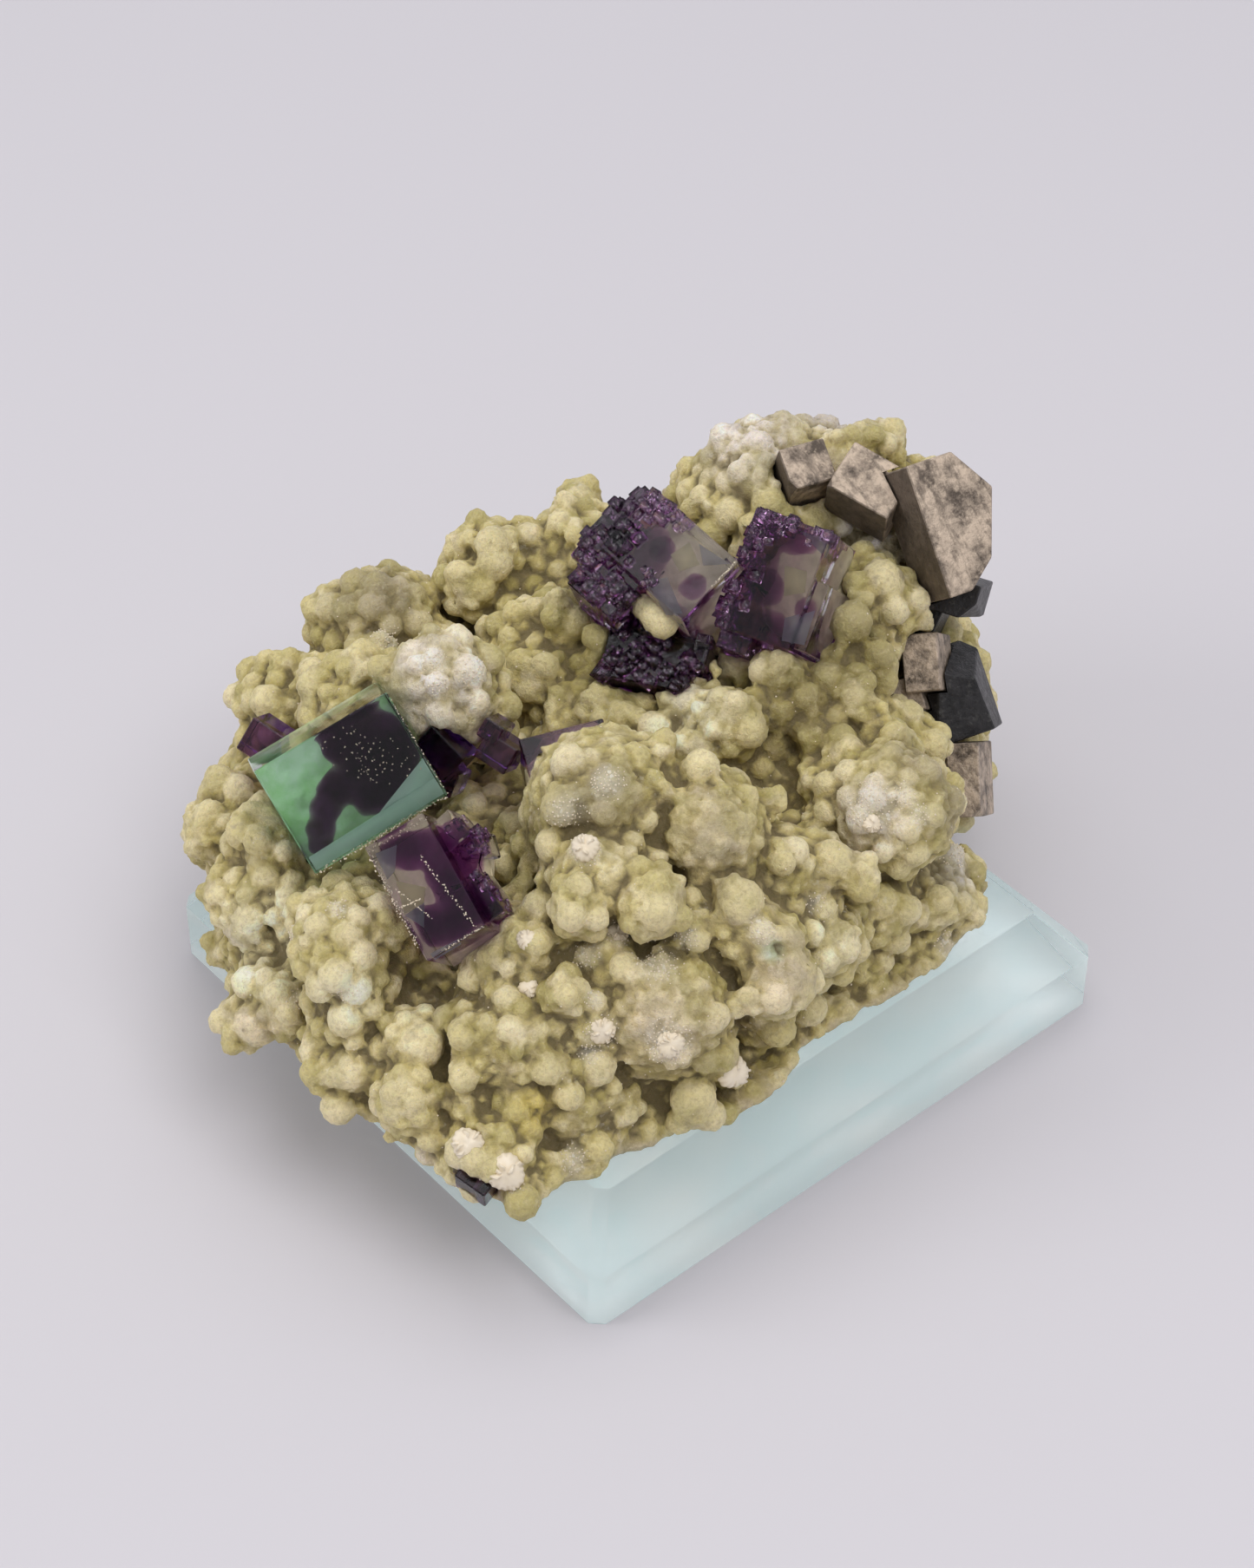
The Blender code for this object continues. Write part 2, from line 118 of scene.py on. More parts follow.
# Heights that parts of the rock's skin start at
FACES_FROM = 15.8  # faces that balls are put on
BALLS_FROM = 15.5  # undersides of balls
SUGAR_FROM = 16.5
VALLEYS_FROM = 17.0

# Relief measures that paint shade into the hollows and highlights onto the tops: smoothing steps,
# depth and weight
RELIEF = ((4, 0.10, 0.14), (40, 0.55, 0.20), (160, 1.6, 0.22))

# Big rounded lobes that stay smooth but for a sugary skin: middle and radius, made metres
LOBES = [(Vector(middle) * MM, radius * MM) for middle, radius in (
    ((-19, -26, 27), 8.2), ((-31, -25, 21), 5.4), ((-27, -23, 30), 4.4), ((-7, -29, 31), 6.0),
    ((-7, -28, 22), 4.8), ((2, -30, 28), 4.4), ((-9, -27, 37), 3.8), ((18, -20, 31), 8.4),
    ((14, -25, 23), 6.2), ((-12, -9, 42), 9.2), ((-5, -17, 40), 7.4), ((-19, -16, 40), 6.0),
    ((1, -24, 34), 6.0), ((-28, -13, 31), 7.4), ((-35, -19, 27), 5.8), ((-21, -21.5, 33), 4.2),
    ((-13.5, -24.5, 36.5), 4.4),
)]

# Round parts of the photograph where the skin is smooth but for shallow bumps
SMOOTH_PARTS = [
    (770, 1185, 92), (900, 1115, 66), (815, 975, 78), (700, 920, 58), (695, 1010, 42),
    (1015, 990, 62), (850, 1235, 50), (960, 830, 60), (1050, 1040, 40), (640, 1310, 30),
]

TURNED_AWAY = 0.25  # skin that faces along the line of sight more than this isn't seen

# Nodules that can be told apart in the photograph
NODULES = [
    (759, 1054, 23), (825, 1172, 21), (796, 1261, 27), (676, 1103, 19), (684, 1154, 18),
    (804, 1084, 16), (716, 1111, 20), (855, 1045, 30), (878, 1075, 19), (936, 1078, 17),
    (949, 1108, 19), (977, 1095, 19), (979, 1061, 12), (914, 1045, 15), (949, 1047, 17),
    (938, 1161, 23), (861, 1148, 13), (708, 1252, 11), (724, 1284, 14), (687, 1232, 22),
    (654, 1147, 15), (657, 1205, 11), (642, 1186, 13), (1016, 1104, 19), (1042, 1095, 13),
    (780, 1150, 80), (870, 1078, 50), (888, 1132, 52), (958, 1095, 42), (805, 972, 72),
    (680, 1008, 56), (1000, 945, 76), (700, 915, 52), (600, 1275, 60), (400, 1095, 58),
    (505, 770, 60), (430, 690, 62), (700, 1090, 34), (1030, 1030, 46), (669, 1020, 16),
    (674, 980, 23), (727, 971, 17), (624, 1045, 26), (587, 1065, 13), (745, 946, 17),
    (657, 883, 24), (677, 879, 20), (631, 899, 10), (888, 947, 11), (872, 971, 10),
    (585, 1115, 12), (550, 979, 18), (580, 997, 18), (594, 949, 15), (547, 931, 17),
    (512, 896, 17), (547, 958, 12), (480, 1155, 17), (464, 1174, 10), (513, 1178, 17),
    (541, 1128, 17), (534, 1161, 11), (583, 1150, 17), (561, 1178, 15), (587, 1185, 17),
    (609, 1139, 11), (637, 1185, 13), (532, 1244, 18), (451, 1260, 15), (477, 1266, 15),
    (615, 1281, 31), (629, 1237, 18), (661, 1264, 17), (718, 1288, 12), (583, 1350, 24),
    (547, 1373, 20), (491, 1330, 17), (366, 1067, 17), (399, 1078, 20), (414, 1056, 15),
    (390, 1067, 32), (399, 1133, 35), (385, 1124, 21), (412, 1144, 21), (366, 1141, 18),
    (399, 1170, 22), (333, 1071, 16), (333, 1034, 17), (342, 1115, 18), (318, 1144, 17),
    (333, 1168, 15), (429, 1181, 18), (418, 1100, 20), (399, 1233, 27), (385, 1240, 15),
    (359, 1214, 22), (292, 1181, 28), (488, 1207, 27), (289, 1056, 22), (307, 1089, 20),
    (304, 1012, 17), (326, 982, 12), (337, 1015, 14), (267, 971, 20), (296, 968, 18),
    (276, 909, 22), (241, 934, 18), (224, 934, 14), (252, 898, 20), (918, 979, 18), (961, 989, 25),
    (951, 904, 18), (933, 902, 11), (975, 891, 18), (914, 945, 17), (953, 937, 17), (990, 943, 19),
    (1009, 902, 13), (1005, 921, 18), (1046, 921, 15), (1046, 956, 19), (1018, 982, 15),
    (1055, 985, 19), (1036, 1000, 16), (1014, 1037, 22), (1048, 1047, 19), (1077, 939, 15),
    (1088, 978, 17), (1109, 1041, 15), (1083, 1034, 18), (875, 880, 13), (887, 906, 10),
    (660, 720, 22), (755, 838, 22), (793, 810, 27), (868, 844, 20), (895, 857, 26), (809, 861, 28),
    (876, 884, 16), (962, 827, 15), (874, 753, 13), (900, 759, 15), (902, 743, 12), (822, 743, 13),
    (984, 724, 25), (1020, 672, 28), (956, 780, 28), (630, 766, 17), (617, 742, 13),
    (636, 817, 12), (621, 822, 14), (606, 853, 18), (645, 658, 15), (608, 621, 20), (841, 594, 24),
    (753, 704, 21), (550, 810, 17), (577, 787, 15), (542, 771, 23), (501, 756, 13), (503, 787, 15),
    (484, 719, 18), (449, 721, 15), (439, 737, 12), (530, 733, 18), (524, 698, 15), (480, 766, 13),
    (424, 773, 12), (559, 843, 12), (507, 824, 18), (644, 601, 18), (526, 661, 17), (569, 653, 22),
    (563, 624, 20), (513, 636, 16), (451, 644, 20), (406, 669, 17), (428, 700, 17),
]

# Balls that fill the rest of the rock: radii, tries, spacing in radii, how far each is sunk in
# radii and the share kept on a smooth lobe, where they are sunk deeper
CLUSTERS = ((2.4, 4.2), 300, 1.4, (0.3, 0.65), 0.0)
GRAPES = ((1.2, 2.2), 7000, 1.45, (0.1, 0.5), 0.06)
BUMPS = ((0.65, 1.1), 11000, 1.3, (0.1, 0.5), 0.7)
BEADS = ((0.42, 0.65), 16000, 1.3, (0.1, 0.55), 1.0)
DEEPER = 0.15
LOBE_SKIN = 1.3  # a point this near to a lobe's skin is on the lobe
FAVOUR = 1.3  # power that makes small balls more common than big ones
BROADEST = 2.6  # no ball near another is broader than this
OFF_CRYSTAL = 0.9  # share of its radius that a ball's middle is off a crystal
BROAD = 30  # pixels: a nodule broader than this is a low swelling
BROAD_SUNK = 0.72
NODULE_SUNK = (16, 26, 0.22, 0.2)  # from and to these pixels: sunk so far, and so much more
SINK = (0.9, 160, 2.6)  # valleys: share, smoothing steps that find them, most
CLEAR_OF_CRYSTALS = 0.8  # no ball starts closer to a crystal than this
SNUG = 0.12  # the rock's skin stays this far off a crystal
SEARCH = 12.0  # how far from a point its nearest crystal face is looked for

# Nodules that grew against a crystal: pixel, height and radius
CRYSTAL_NODULES = [
    ((745, 699), 49.6, 1.75), ((764, 718), 49.2, 1.85), ((755, 709), 49.4, 2.0),
    ((533, 1328), 21.4, 2.1), ((549, 1338), 21.6, 1.9), ((566, 1346), 21.0, 1.8),
]

# Thin broken rim under the front right edge: corners in pixels, and height
RIM = [
    (720, 1326), (803, 1291), (848, 1284), (884, 1260), (908, 1214), (952, 1188), (1003, 1157),
    (1060, 1124), (1122, 1052),
]
RIM_AT = 15.6
RIM_STEP = 6  # pixels from one plate to the next
RIM_CLEAR = 0.9  # no ball on the rim's lower part within this

# Flower-like rosettes of white plates
ROSETTES = [
    (846, 1236, 18), (772, 1203, 15), (539, 1318, 17), (583, 1352, 20), (674, 976, 15),
    (609, 1139, 11), (606, 1082, 11), (712, 1075, 12), (693, 1188, 15), (1005, 950, 10),
]

# Patches with a sugary white skin: pixel, and radius in millimetres
SUGAR = [
    (676, 1100, 2.0), (712, 1077, 1.8), (692, 1190, 2.4), (680, 1215, 1.6), (684, 1150, 1.4),
    (878, 1070, 2.2), (759, 1111, 3.0), (770, 1200, 3.2), (790, 1080, 1.8),
    (1005, 925, 3.6), (1040, 915, 1.8), (398, 1145, 1.8), (390, 1045, 1.6), (333, 1075, 1.8),
    (340, 1152, 1.6), (331, 1205, 1.4), (674, 978, 2.4), (655, 940, 3.0), (700, 900, 2.6),
    (500, 760, 2.0), (450, 735, 2.6), (545, 770, 2.4), (503, 790, 1.6), (661, 1336, 2.0),
    (1090, 1090, 2.0), (1100, 980, 2.4), (1060, 940, 2.0), (590, 1360, 1.8), (940, 1040, 1.4),
]

# Colours of the rock, linear
CREAM = (0.73, 0.61, 0.30)
OLIVE = (0.40, 0.33, 0.10)
YELLOW = (0.60, 0.49, 0.18)
GROUND = (0.46, 0.37, 0.18)
PAINTED_CLEFT_SHADE = (0.15, 0.115, 0.05)
BROWN = (0.30, 0.22, 0.12)
PAINTED_HIGHLIGHT_GAIN = (1.38, 1.45, 1.95)  # painted highlight: how much brighter the tops are made, by channel
CREAM_SHARE = 0.55  # of the balls, and the rest are olive
BALL_COAT = 0.8  # millimetres off a ball over which its colour fades
TINT_SHARE = 0.85
SUGAR_WHITE = (0.88, 0.84, 0.74)
PALE = (0.80, 0.70, 0.40)
BUFF = (0.70, 0.60, 0.44)
TAN = (0.60, 0.48, 0.27)
UMBER = (0.28, 0.225, 0.115)
HONEY = (0.68, 0.52, 0.12)
DARK_OLIVE = (0.20, 0.155, 0.045)
STONE = (0.46, 0.41, 0.31)
SEA_BLUE = (0.50, 0.57, 0.38)
STRAW = (0.94, 0.83, 0.50)

# Parts of another of these colours: pixel, radius in millimetres and colour
TINTS = [
    (505, 775, 9.0, BUFF), (430, 680, 9.0, UMBER), (292, 1181, 3.6, TAN),
    (491, 1330, 2.0, BUFF), (768, 1190, 8.5, TAN), (893, 1120, 5.5, TAN),
    (615, 1281, 3.6, HONEY), (985, 745, 8.0, DARK_OLIVE), (1040, 780, 9.0, UMBER),
    (1095, 1000, 5.0, STONE), (1020, 1015, 5.5, OLIVE), (890, 1095, 1.8, SEA_BLUE),
    (700, 770, 9.0, OLIVE), (690, 925, 7.5, UMBER), (1105, 920, 6.0, UMBER),
    (925, 805, 8.5, DARK_OLIVE), (955, 1085, 4.5, PALE), (325, 1090, 9.0, STRAW),
    (400, 1150, 5.0, PALE), (480, 1175, 4.5, CREAM), (860, 500, 9.0, BUFF),
    (955, 480, 8.0, BUFF), (1060, 640, 6.0, UMBER), (1000, 620, 6.0, STONE),
    (1055, 870, 6.0, UMBER), (820, 975, 8.0, GROUND), (795, 825, 6.0, PALE),
    (1000, 935, 6.0, BUFF), (690, 1000, 5.0, CREAM),
]

# Each clear crystal's own frame, as in the CAD: place and turn in degrees
FRAMES = {
    GREEN: ((-31.7, 13.9, 42.6), (51, -19, -15)),
    FRONT: ((-34, -6, 40.6), (32, 29, -97)),
    UPPER_LEFT: ((13.3, 11, 50.5), (18, -28, -2)),
    UPPER_RIGHT: ((23.5, -0.3, 49.3), (44, 2, -67)),
}
ZONE_GAP = -0.3  # a zone stays this far inside the crystal's faces
FOOT_GAP = -0.05  # so does a milky foot, which all but fills the crystal's lower part

# Zones and milky feet inside the clear crystals: name, crystal, look, and round parts as
# (middle, half sizes) in the crystal's own frame
ZONES = [
    ("green_dark_zone", GREEN, "brown purple",
     [((4.2, 1.0, 3.4), (4.8, 5.6, 3.4)), ((2.6, -2.6, 3.4), (3.8, 2.8, 3.2)),
      ((1.6, 4.2, 3.4), (2.8, 2.6, 3.2)), ((-1.6, 0.0, 3.8), (2.6, 2.2, 2.8)),
      ((-3.8, -1.3, 4.2), (2.1, 1.9, 2.2)), ((-5.5, -2.9, 4.4), (1.8, 1.7, 1.9)),
      ((-6.6, -4.3, 4.6), (1.5, 1.3, 1.7)), ((3.4, 5.9, 2.0), (4.6, 0.55, 4.2))]),
    ("green_milky_base", GREEN, "milky green", [((0, 0, -8.0), (13.0, 10.5, 4.2))]),
    ("front_dark_zone", FRONT, "deep purple",
     [((0.8, 1.9, 2.4), (5.8, 1.9, 3.2)), ((4.4, 0.6, 2.0), (2.5, 3.2, 3.4)),
      ((-4.6, 0.6, 2.2), (2.2, 2.9, 3.2)), ((2.6, -2.6, 0.4), (1.8, 0.9, 2.6)),
      ((-2.7, 5.6, 1.5), (3.2, 3.2, 4.0)), ((3.8, 5.2, 0.5), (4.0, 2.8, 4.5)),
      ((3.8, -1.8, 2.0), (2.5, 2.2, 3.2)), ((-6.0, -0.9, 2.2), (2.0, 2.3, 3.0))]),
    ("front_milky_base", FRONT, "milky beige", [((0, 0, -6.8), (11.0, 6.5, 3.0))]),
    ("upper_left_dark_zone", UPPER_LEFT, "smoky purple",
     [((-1.4, 3.4, 1.6), (5.6, 5.0, 4.8)), ((-4.6, -1.6, -1.0), (3.0, 3.6, 4.4)),
      ((-6.0, 5.0, 0.0), (3.0, 3.6, 4.0))]),
    ("upper_left_dark_discs", UPPER_LEFT, "deep purple",
     [((1.6, 0.2, 4.2), (1.8, 1.8, 1.7)), ((0.8, -5.8, 4.2), (1.8, 1.7, 1.7))]),
    ("lower_left_dark_zone", UPPER_LEFT, "plum", [((-8.0, -5.8, -4.4), (7.0, 6.0, 7.0))]),
    ("upper_left_milky_base", UPPER_LEFT, "milky beige", [((2.4, -2.0, -7.4), (5.0, 8.0, 3.4))]),
    ("upper_right_dark_zone", UPPER_RIGHT, "smoky purple",
     [((-3.4, 0.8, 3.4), (2.6, 7.2, 2.6)), ((-0.6, -5.6, 1.6), (5.2, 2.7, 4.4)),
      ((-1.2, 6.0, 1.0), (3.8, 2.0, 4.2))]),
    ("upper_right_dark_discs", UPPER_RIGHT, "deep purple",
     [((-1.2, -0.8, 3.8), (2.4, 2.4, 1.6)), ((4.0, -1.6, 4.0), (1.4, 1.7, 1.5))]),
    ("upper_right_milky_base", UPPER_RIGHT, "milky beige", [((1.0, 1.4, -7.4), (5.0, 7.0, 3.4))]),
]

# Rough crusts of small crystals on the purple ones: crystal, count, sizes and the corners of the
# part they cover, in the crystal's own frame
CRUSTS = [
    (UPPER_LEFT, 110, (0.7, 2.0), (-8, -3, -7), (-0.6, 9, 9)),
    (UPPER_LEFT, 90, (0.6, 1.7), (-2, 2.0, -7), (4.4, 9.5, 9)),
    (UPPER_LEFT, 40, (0.6, 1.5), (4.0, 0.2, -7), (8, 7, 9)),
    (UPPER_LEFT, 120, (0.7, 2.0), (-15, -13, -12), (-4.5, -2, 4)),
    (UPPER_RIGHT, 80, (0.7, 2.0), (-7, -9, -7), (-2.2, 9, 9)),
    (UPPER_RIGHT, 30, (0.6, 1.5), (-3, 5.6, -4), (5, 9, 8)),
    (FRONT, 30, (0.5, 1.2), (-6, 4.4, -3), (6, 10, 6)),
]

CRUST_TRIES = 30  # for each of its crystals
CRUST_DOWN = -0.3  # faces that turn further down than this stay bare

# Lines of tiny white chips along ridges and worn edges: crystal, ends in its frame, count, spread
CHIPS = [
    (FRONT, (-3.3, 1.2, 6.0), (7.0, 2.85, 6.0), 56, 0.16),
    (FRONT, (-6.5, -3.7, 5.9), (5.5, -3.8, 5.9), 120, 0.30),
    (FRONT, (-6.8, -3.6, 5.0), (-6.6, 4.0, 5.6), 40, 0.25),
    (FRONT, (-1.5, -3.0, 6.0), (3.5, -1.0, 6.0), 26, 0.06),
    (FRONT, (1.0, -1.0, 6.0), (0.6, -3.6, 6.0), 18, 0.06),
    (FRONT, (7.2, -2.0, 5.9), (7.2, 3.6, 5.9), 36, 0.10),
    (GREEN, (-8.6, -6.8, 7.4), (8.6, -6.8, 7.4), 150, 0.26),
    (GREEN, (8.65, -6.0, 7.45), (8.65, 6.0, 7.45), 40, 0.10),
    (GREEN, (0.8, 4.0, 7.3), (6.0, -1.0, 7.3), 90, 2.4),
    (UPPER_LEFT, (1.8, -8.0, 6.5), (6.1, -8.0, 6.5), 30, 0.10),
]

CHIP_SIZES = (0.08, 0.22)

# Fracture planes inside the clear crystals, seen as pale facets: crystal, look, and corners in
# its frame
VEILS = [
    (FRONT, "beige", [(-2.3, -2.6), (0.0, 0.0), (1.4, -1.1), (1.3, -3.6)], 5.0),
    (FRONT, "pale", [(1.5, -3.6), (1.4, -1.0), (3.8, -2.4)], 5.0),
    (FRONT, "pale", [(-6.2, -3.2), (-5.8, -0.6), (-3.4, -2.2), (-3.0, -3.4)], 4.9),
    (FRONT, "pale", [(6.6, -3.2), (6.8, 0.4), (7.4, 0.2), (7.4, -3.2)], 4.6),
    (UPPER_LEFT, "beige", [(1.6, -1.4), (4.2, -2.0), (3.0, -4.8), (0.8, -3.6)], 5.4),
    (UPPER_LEFT, "pale", [(3.2, -5.2), (4.8, -3.0), (5.4, -7.4)], 5.4),
    (UPPER_LEFT, "pale", [(-2.6, -1.6), (-0.6, -3.0), (-2.6, -7.4), (-4.0, -6.0)], 5.2),
    (UPPER_RIGHT, "beige", [(0.2, 2.4), (3.0, 2.6), (3.6, 0.2), (1.4, -1.0)], 4.9),
    (UPPER_RIGHT, "pale", [(2.4, -3.4), (5.4, -1.4), (5.6, -5.6), (3.0, -6.0)], 4.9),
    (UPPER_RIGHT, "pale", [(0.6, 6.8), (4.6, 7.0), (4.4, 4.8)], 4.9),
    (GREEN, "mint", [(-8.4, -6.5), (8.4, -6.5), (8.4, -4.4), (-8.4, -4.8)], 6.9),
    (GREEN, "mint", [(2.0, -4.2), (8.4, -1.8), (8.4, -4.5), (0.0, -5.0)], 6.7),
]
VEIL_THICK = 0.12


def pixel_of(spot):
    """The pixel that a point in metres is seen at."""
    away = spot / MM - CAMERA_AT
    scale = FOCAL_PX / away.dot(FORWARD)
    across, down = (size / 2 for size in PHOTO_SIZE)
    return across + away.dot(RIGHT) * scale, down - away.dot(UP) * scale


def ray(pixel):
    """Start and direction, in metres, of the line of sight through a pixel."""
    across = (pixel[0] - PHOTO_SIZE[0] / 2) / FOCAL_PX
    down = (pixel[1] - PHOTO_SIZE[1] / 2) / FOCAL_PX
    return CAMERA_AT * MM, (FORWARD + RIGHT * across - UP * down).normalized()


def linked(name, data):
    obj = bpy.data.objects.new(name, data)
    bpy.context.scene.collection.objects.link(obj)
    return obj


def add_camera():
    data = bpy.data.cameras.new("photo camera")
    data.sensor_fit = "VERTICAL"
    data.sensor_height = SENSOR
    data.lens = FOCAL_PX / PHOTO_SIZE[1] * SENSOR
    data.clip_start = 0.01
    camera = linked("photo camera", data)
    turn = Matrix((RIGHT, UP, -FORWARD)).transposed().to_4x4()
    camera.matrix_world = Matrix.Translation(CAMERA_AT * MM) @ turn
    bpy.context.scene.camera = camera


def mesh_from(name, bm):
    mesh = bpy.data.meshes.new(name)
    bm.to_mesh(mesh)
    bm.free()
    return mesh


def modify(obj, kind, **settings):
    step = obj.modifiers.new(kind, kind)
    for name, value in settings.items():
        setattr(step, name, value)


def apply_modifiers(obj):
    graph = bpy.context.evaluated_depsgraph_get()
    mesh = bpy.data.meshes.new_from_object(obj.evaluated_get(graph))
    old = obj.data
    obj.modifiers.clear()
    obj.data = mesh
    bpy.data.meshes.remove(old)


def unit_ball(detail):
    """The form of a ball of radius 1."""
    bm = bmesh.new()
    bmesh.ops.create_icosphere(bm, subdivisions=detail, radius=1.0)
    corners = np.array([v.co for v in bm.verts])
    faces = np.array([[v.index for v in f.verts] for f in bm.faces])
    bm.free()
    return corners, faces


def joined(forms):
    """One form of several."""
    shift = np.cumsum([0] + [len(corners) for corners, _ in forms])
    corners = np.concatenate([corners for corners, _ in forms])
    return corners, np.concatenate([faces + n for (_, faces), n in zip(forms, shift)])


def mesh_of(name, forms):
    """One mesh of several forms."""
    corners, faces = joined(forms)
    mesh = bpy.data.meshes.new(name)
    mesh.vertices.add(len(corners))
    mesh.vertices.foreach_set("co", corners.astype(np.float32).ravel())
    mesh.loops.add(faces.size)
    mesh.loops.foreach_set("vertex_index", faces.astype(np.int32).ravel())
    mesh.polygons.add(len(faces))
    mesh.polygons.foreach_set("loop_start", np.arange(0, faces.size, 3, dtype=np.int32))
    mesh.update(calc_edges=True)
    mesh.validate()
    return mesh


def placed(corners, turn, middle):
    """Corners, turned about the origin and then moved."""
    return corners @ np.array(turn).T + np.array(middle)


def balls_as_forms(balls, detail):
    """Balls, each a (middle, radius) in metres, as forms."""
    corners, faces = unit_ball(detail)
    return [(corners * radius + np.array(middle), faces) for middle, radius in balls]


def node_as_form(node):
    """The form of an object's mesh."""
    mesh = node.data
    mesh.calc_loop_triangles()
    corners = np.empty(len(mesh.vertices) * 3)
    mesh.vertices.foreach_get("co", corners)
    faces = np.empty(len(mesh.loop_triangles) * 3, np.int32)
    mesh.loop_triangles.foreach_get("vertices", faces)
    return corners.reshape(-1, 3), faces.reshape(-1, 3)


def piece_of(name, mesh, look):
    mesh.materials.append(look)
    return linked(name, mesh)


def add_piece(name, forms, look):
    piece = piece_of(name, mesh_of(name, forms), look)
    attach(piece, "root")


def fused(name, forms, grain, look):
    """Closed forms fused in one skin."""
    obj = piece_of(name, mesh_of(name, forms), look)
    modify(obj, "REMESH", mode="VOXEL", voxel_size=grain * MM)
    apply_modifiers(obj)
    return obj


class Graph:
    """Short way to write a material's nodes."""

    def __init__(self, name):
        self.material = bpy.data.materials.new(name)
        self.material.use_nodes = True
        self.tree = self.material.node_tree
        self.shader = self.tree.nodes["Principled BSDF"]
        self.output = self.tree.nodes["Material Output"]

    def feed(self, socket, value):
        if isinstance(value, bpy.types.NodeSocket):
            self.tree.links.new(value, socket)
        elif socket.type == "RGBA" and len(value) == 3:
            socket.default_value = (*value, 1.0)
        else:
            socket.default_value = value

    def node(self, kind, inputs, output, **settings):
        """An output of a new node whose inputs get values or links."""
        made = self.tree.nodes.new(kind)
        for name, value in settings.items():
            setattr(made, name, value)
        for name, value in inputs.items():
            self.feed(made.inputs[name], value)
        return made.outputs[output]

    def place(self):
        """Object coordinates, which are the row frame in metres."""
        return self.node("ShaderNodeTexCoord", {}, "Object")

    def noise(self, scale, detail=3.0, roughness=0.5, place=None):
        inputs = {"Scale": scale, "Detail": detail, "Roughness": roughness}
        inputs["Vector"] = place or self.place()
        return self.node("ShaderNodeTexNoise", inputs, "Fac")

    def attribute(self, name, output="Fac"):
        return self.node("ShaderNodeAttribute", {}, output, attribute_name=name)

    def math(self, operation, first, second, clamp=False):
        inputs = {0: first, 1: second}
        return self.node("ShaderNodeMath", inputs, 0, operation=operation, use_clamp=clamp)

    def span(self, value, low, high, out_low=0.0, out_high=1.0):
        """value moved from low..high to out_low..out_high, and held there."""
        names = ("Value", "From Min", "From Max", "To Min", "To Max")
        inputs = dict(zip(names, (value, low, high, out_low, out_high)))
        return self.node("ShaderNodeMapRange", inputs, "Result")

    def mix(self, share, first, second, blend="MIX"):
        return self.node(
            "ShaderNodeMix", {0: share, 6: first, 7: second}, 2,
            data_type="RGBA", blend_type=blend, clamp_result=True,
        )

    def bump(self, height, strength, distance, under=None):
        inputs = {"Height": height, "Strength": strength, "Distance": distance}
        if under:
            inputs["Normal"] = under
        return self.node("ShaderNodeBump", inputs, "Normal")

    def absorb(self, colour, density):
        """Light that goes through the solid loses what isn't of this colour."""
        inputs = {"Color": colour, "Density": density}
        fog = self.node("ShaderNodeVolumeAbsorption", inputs, "Volume")
        self.tree.links.new(fog, self.output.inputs["Volume"])

    def set(self, **values):
        for name, value in values.items():
            self.feed(self.shader.inputs[name.replace("_", " ")], value)


def dolomite_look():
    """Pale olive-yellow, faintly see-through, with a sugary skin, painted shade in the clefts,
    painted highlights on the tops, and white specks that are partly painted glints.
    """
    g = Graph("dolomite_crust")
    tint = g.attribute("tint", "Color")
    painted_shade_and_highlight = g.attribute("painted_shade_and_highlight")
    blotch = g.noise(190.0, 3.0, 0.6)
    grain = g.noise(1500.0, 3.0, 0.65)
    sweet = g.attribute("sugar")
    colour = g.mix(g.span(blotch, 0.42, 0.72, 0.0, 0.7), tint, OLIVE)
    colour = g.mix(g.span(grain, 0.5, 0.75, 0.0, 0.3), colour, CREAM)
    # Painted shade: the hollows are darkened towards a dark olive
    colour = g.mix(g.span(painted_shade_and_highlight, 0.50, 0.05, 0.0, 0.88), colour, PAINTED_CLEFT_SHADE)
    # Painted highlight: the tops of the relief are brightened by this gain
    top = g.mix(1.0, colour, PAINTED_HIGHLIGHT_GAIN, "MULTIPLY")
    colour = g.mix(g.span(painted_shade_and_highlight, 0.56, 0.95, 0.0, 0.8), colour, top)
    fleck = g.noise(1700.0, 4.0, 0.75)
    colour = g.mix(g.span(fleck, 0.32, 0.55, 0.40, 0.0), colour, BROWN)
    # Voronoi speckles whiten the colour: white sugar grains and, in part, painted glints; they
    # also make the skin less rough
    cells = g.node("ShaderNodeTexVoronoi", {"Vector": g.place(), "Scale": 2600.0}, "Color")
    glint = g.span(cells, 0.72, 0.95)
    patch = g.span(g.noise(140.0, 2.0), 0.55, 0.72, 0.0, 0.45)
    sugar = g.math("MULTIPLY", glint, g.math("ADD", patch, sweet, True))
    white = g.math("ADD", g.math("MULTIPLY", sweet, 0.4), sugar, True)
    colour = g.mix(g.math("MULTIPLY", white, 0.7), colour, SUGAR_WHITE)
    g.set(Base_Color=colour, Subsurface_Weight=0.35, Subsurface_Radius=(1.0, 0.8, 0.4))
    g.set(Subsurface_Scale=1.0 * MM, Specular_IOR_Level=0.4)
    g.set(Roughness=g.span(sugar, 0.0, 1.0, 0.62, 0.28))
    skin = g.bump(fleck, 1.0, 0.4 * MM)
    lumps = g.bump(g.noise(520.0, 4.0, 0.6), 0.5, 0.5 * MM, skin)
    g.set(Normal=lumps)
    return g.material


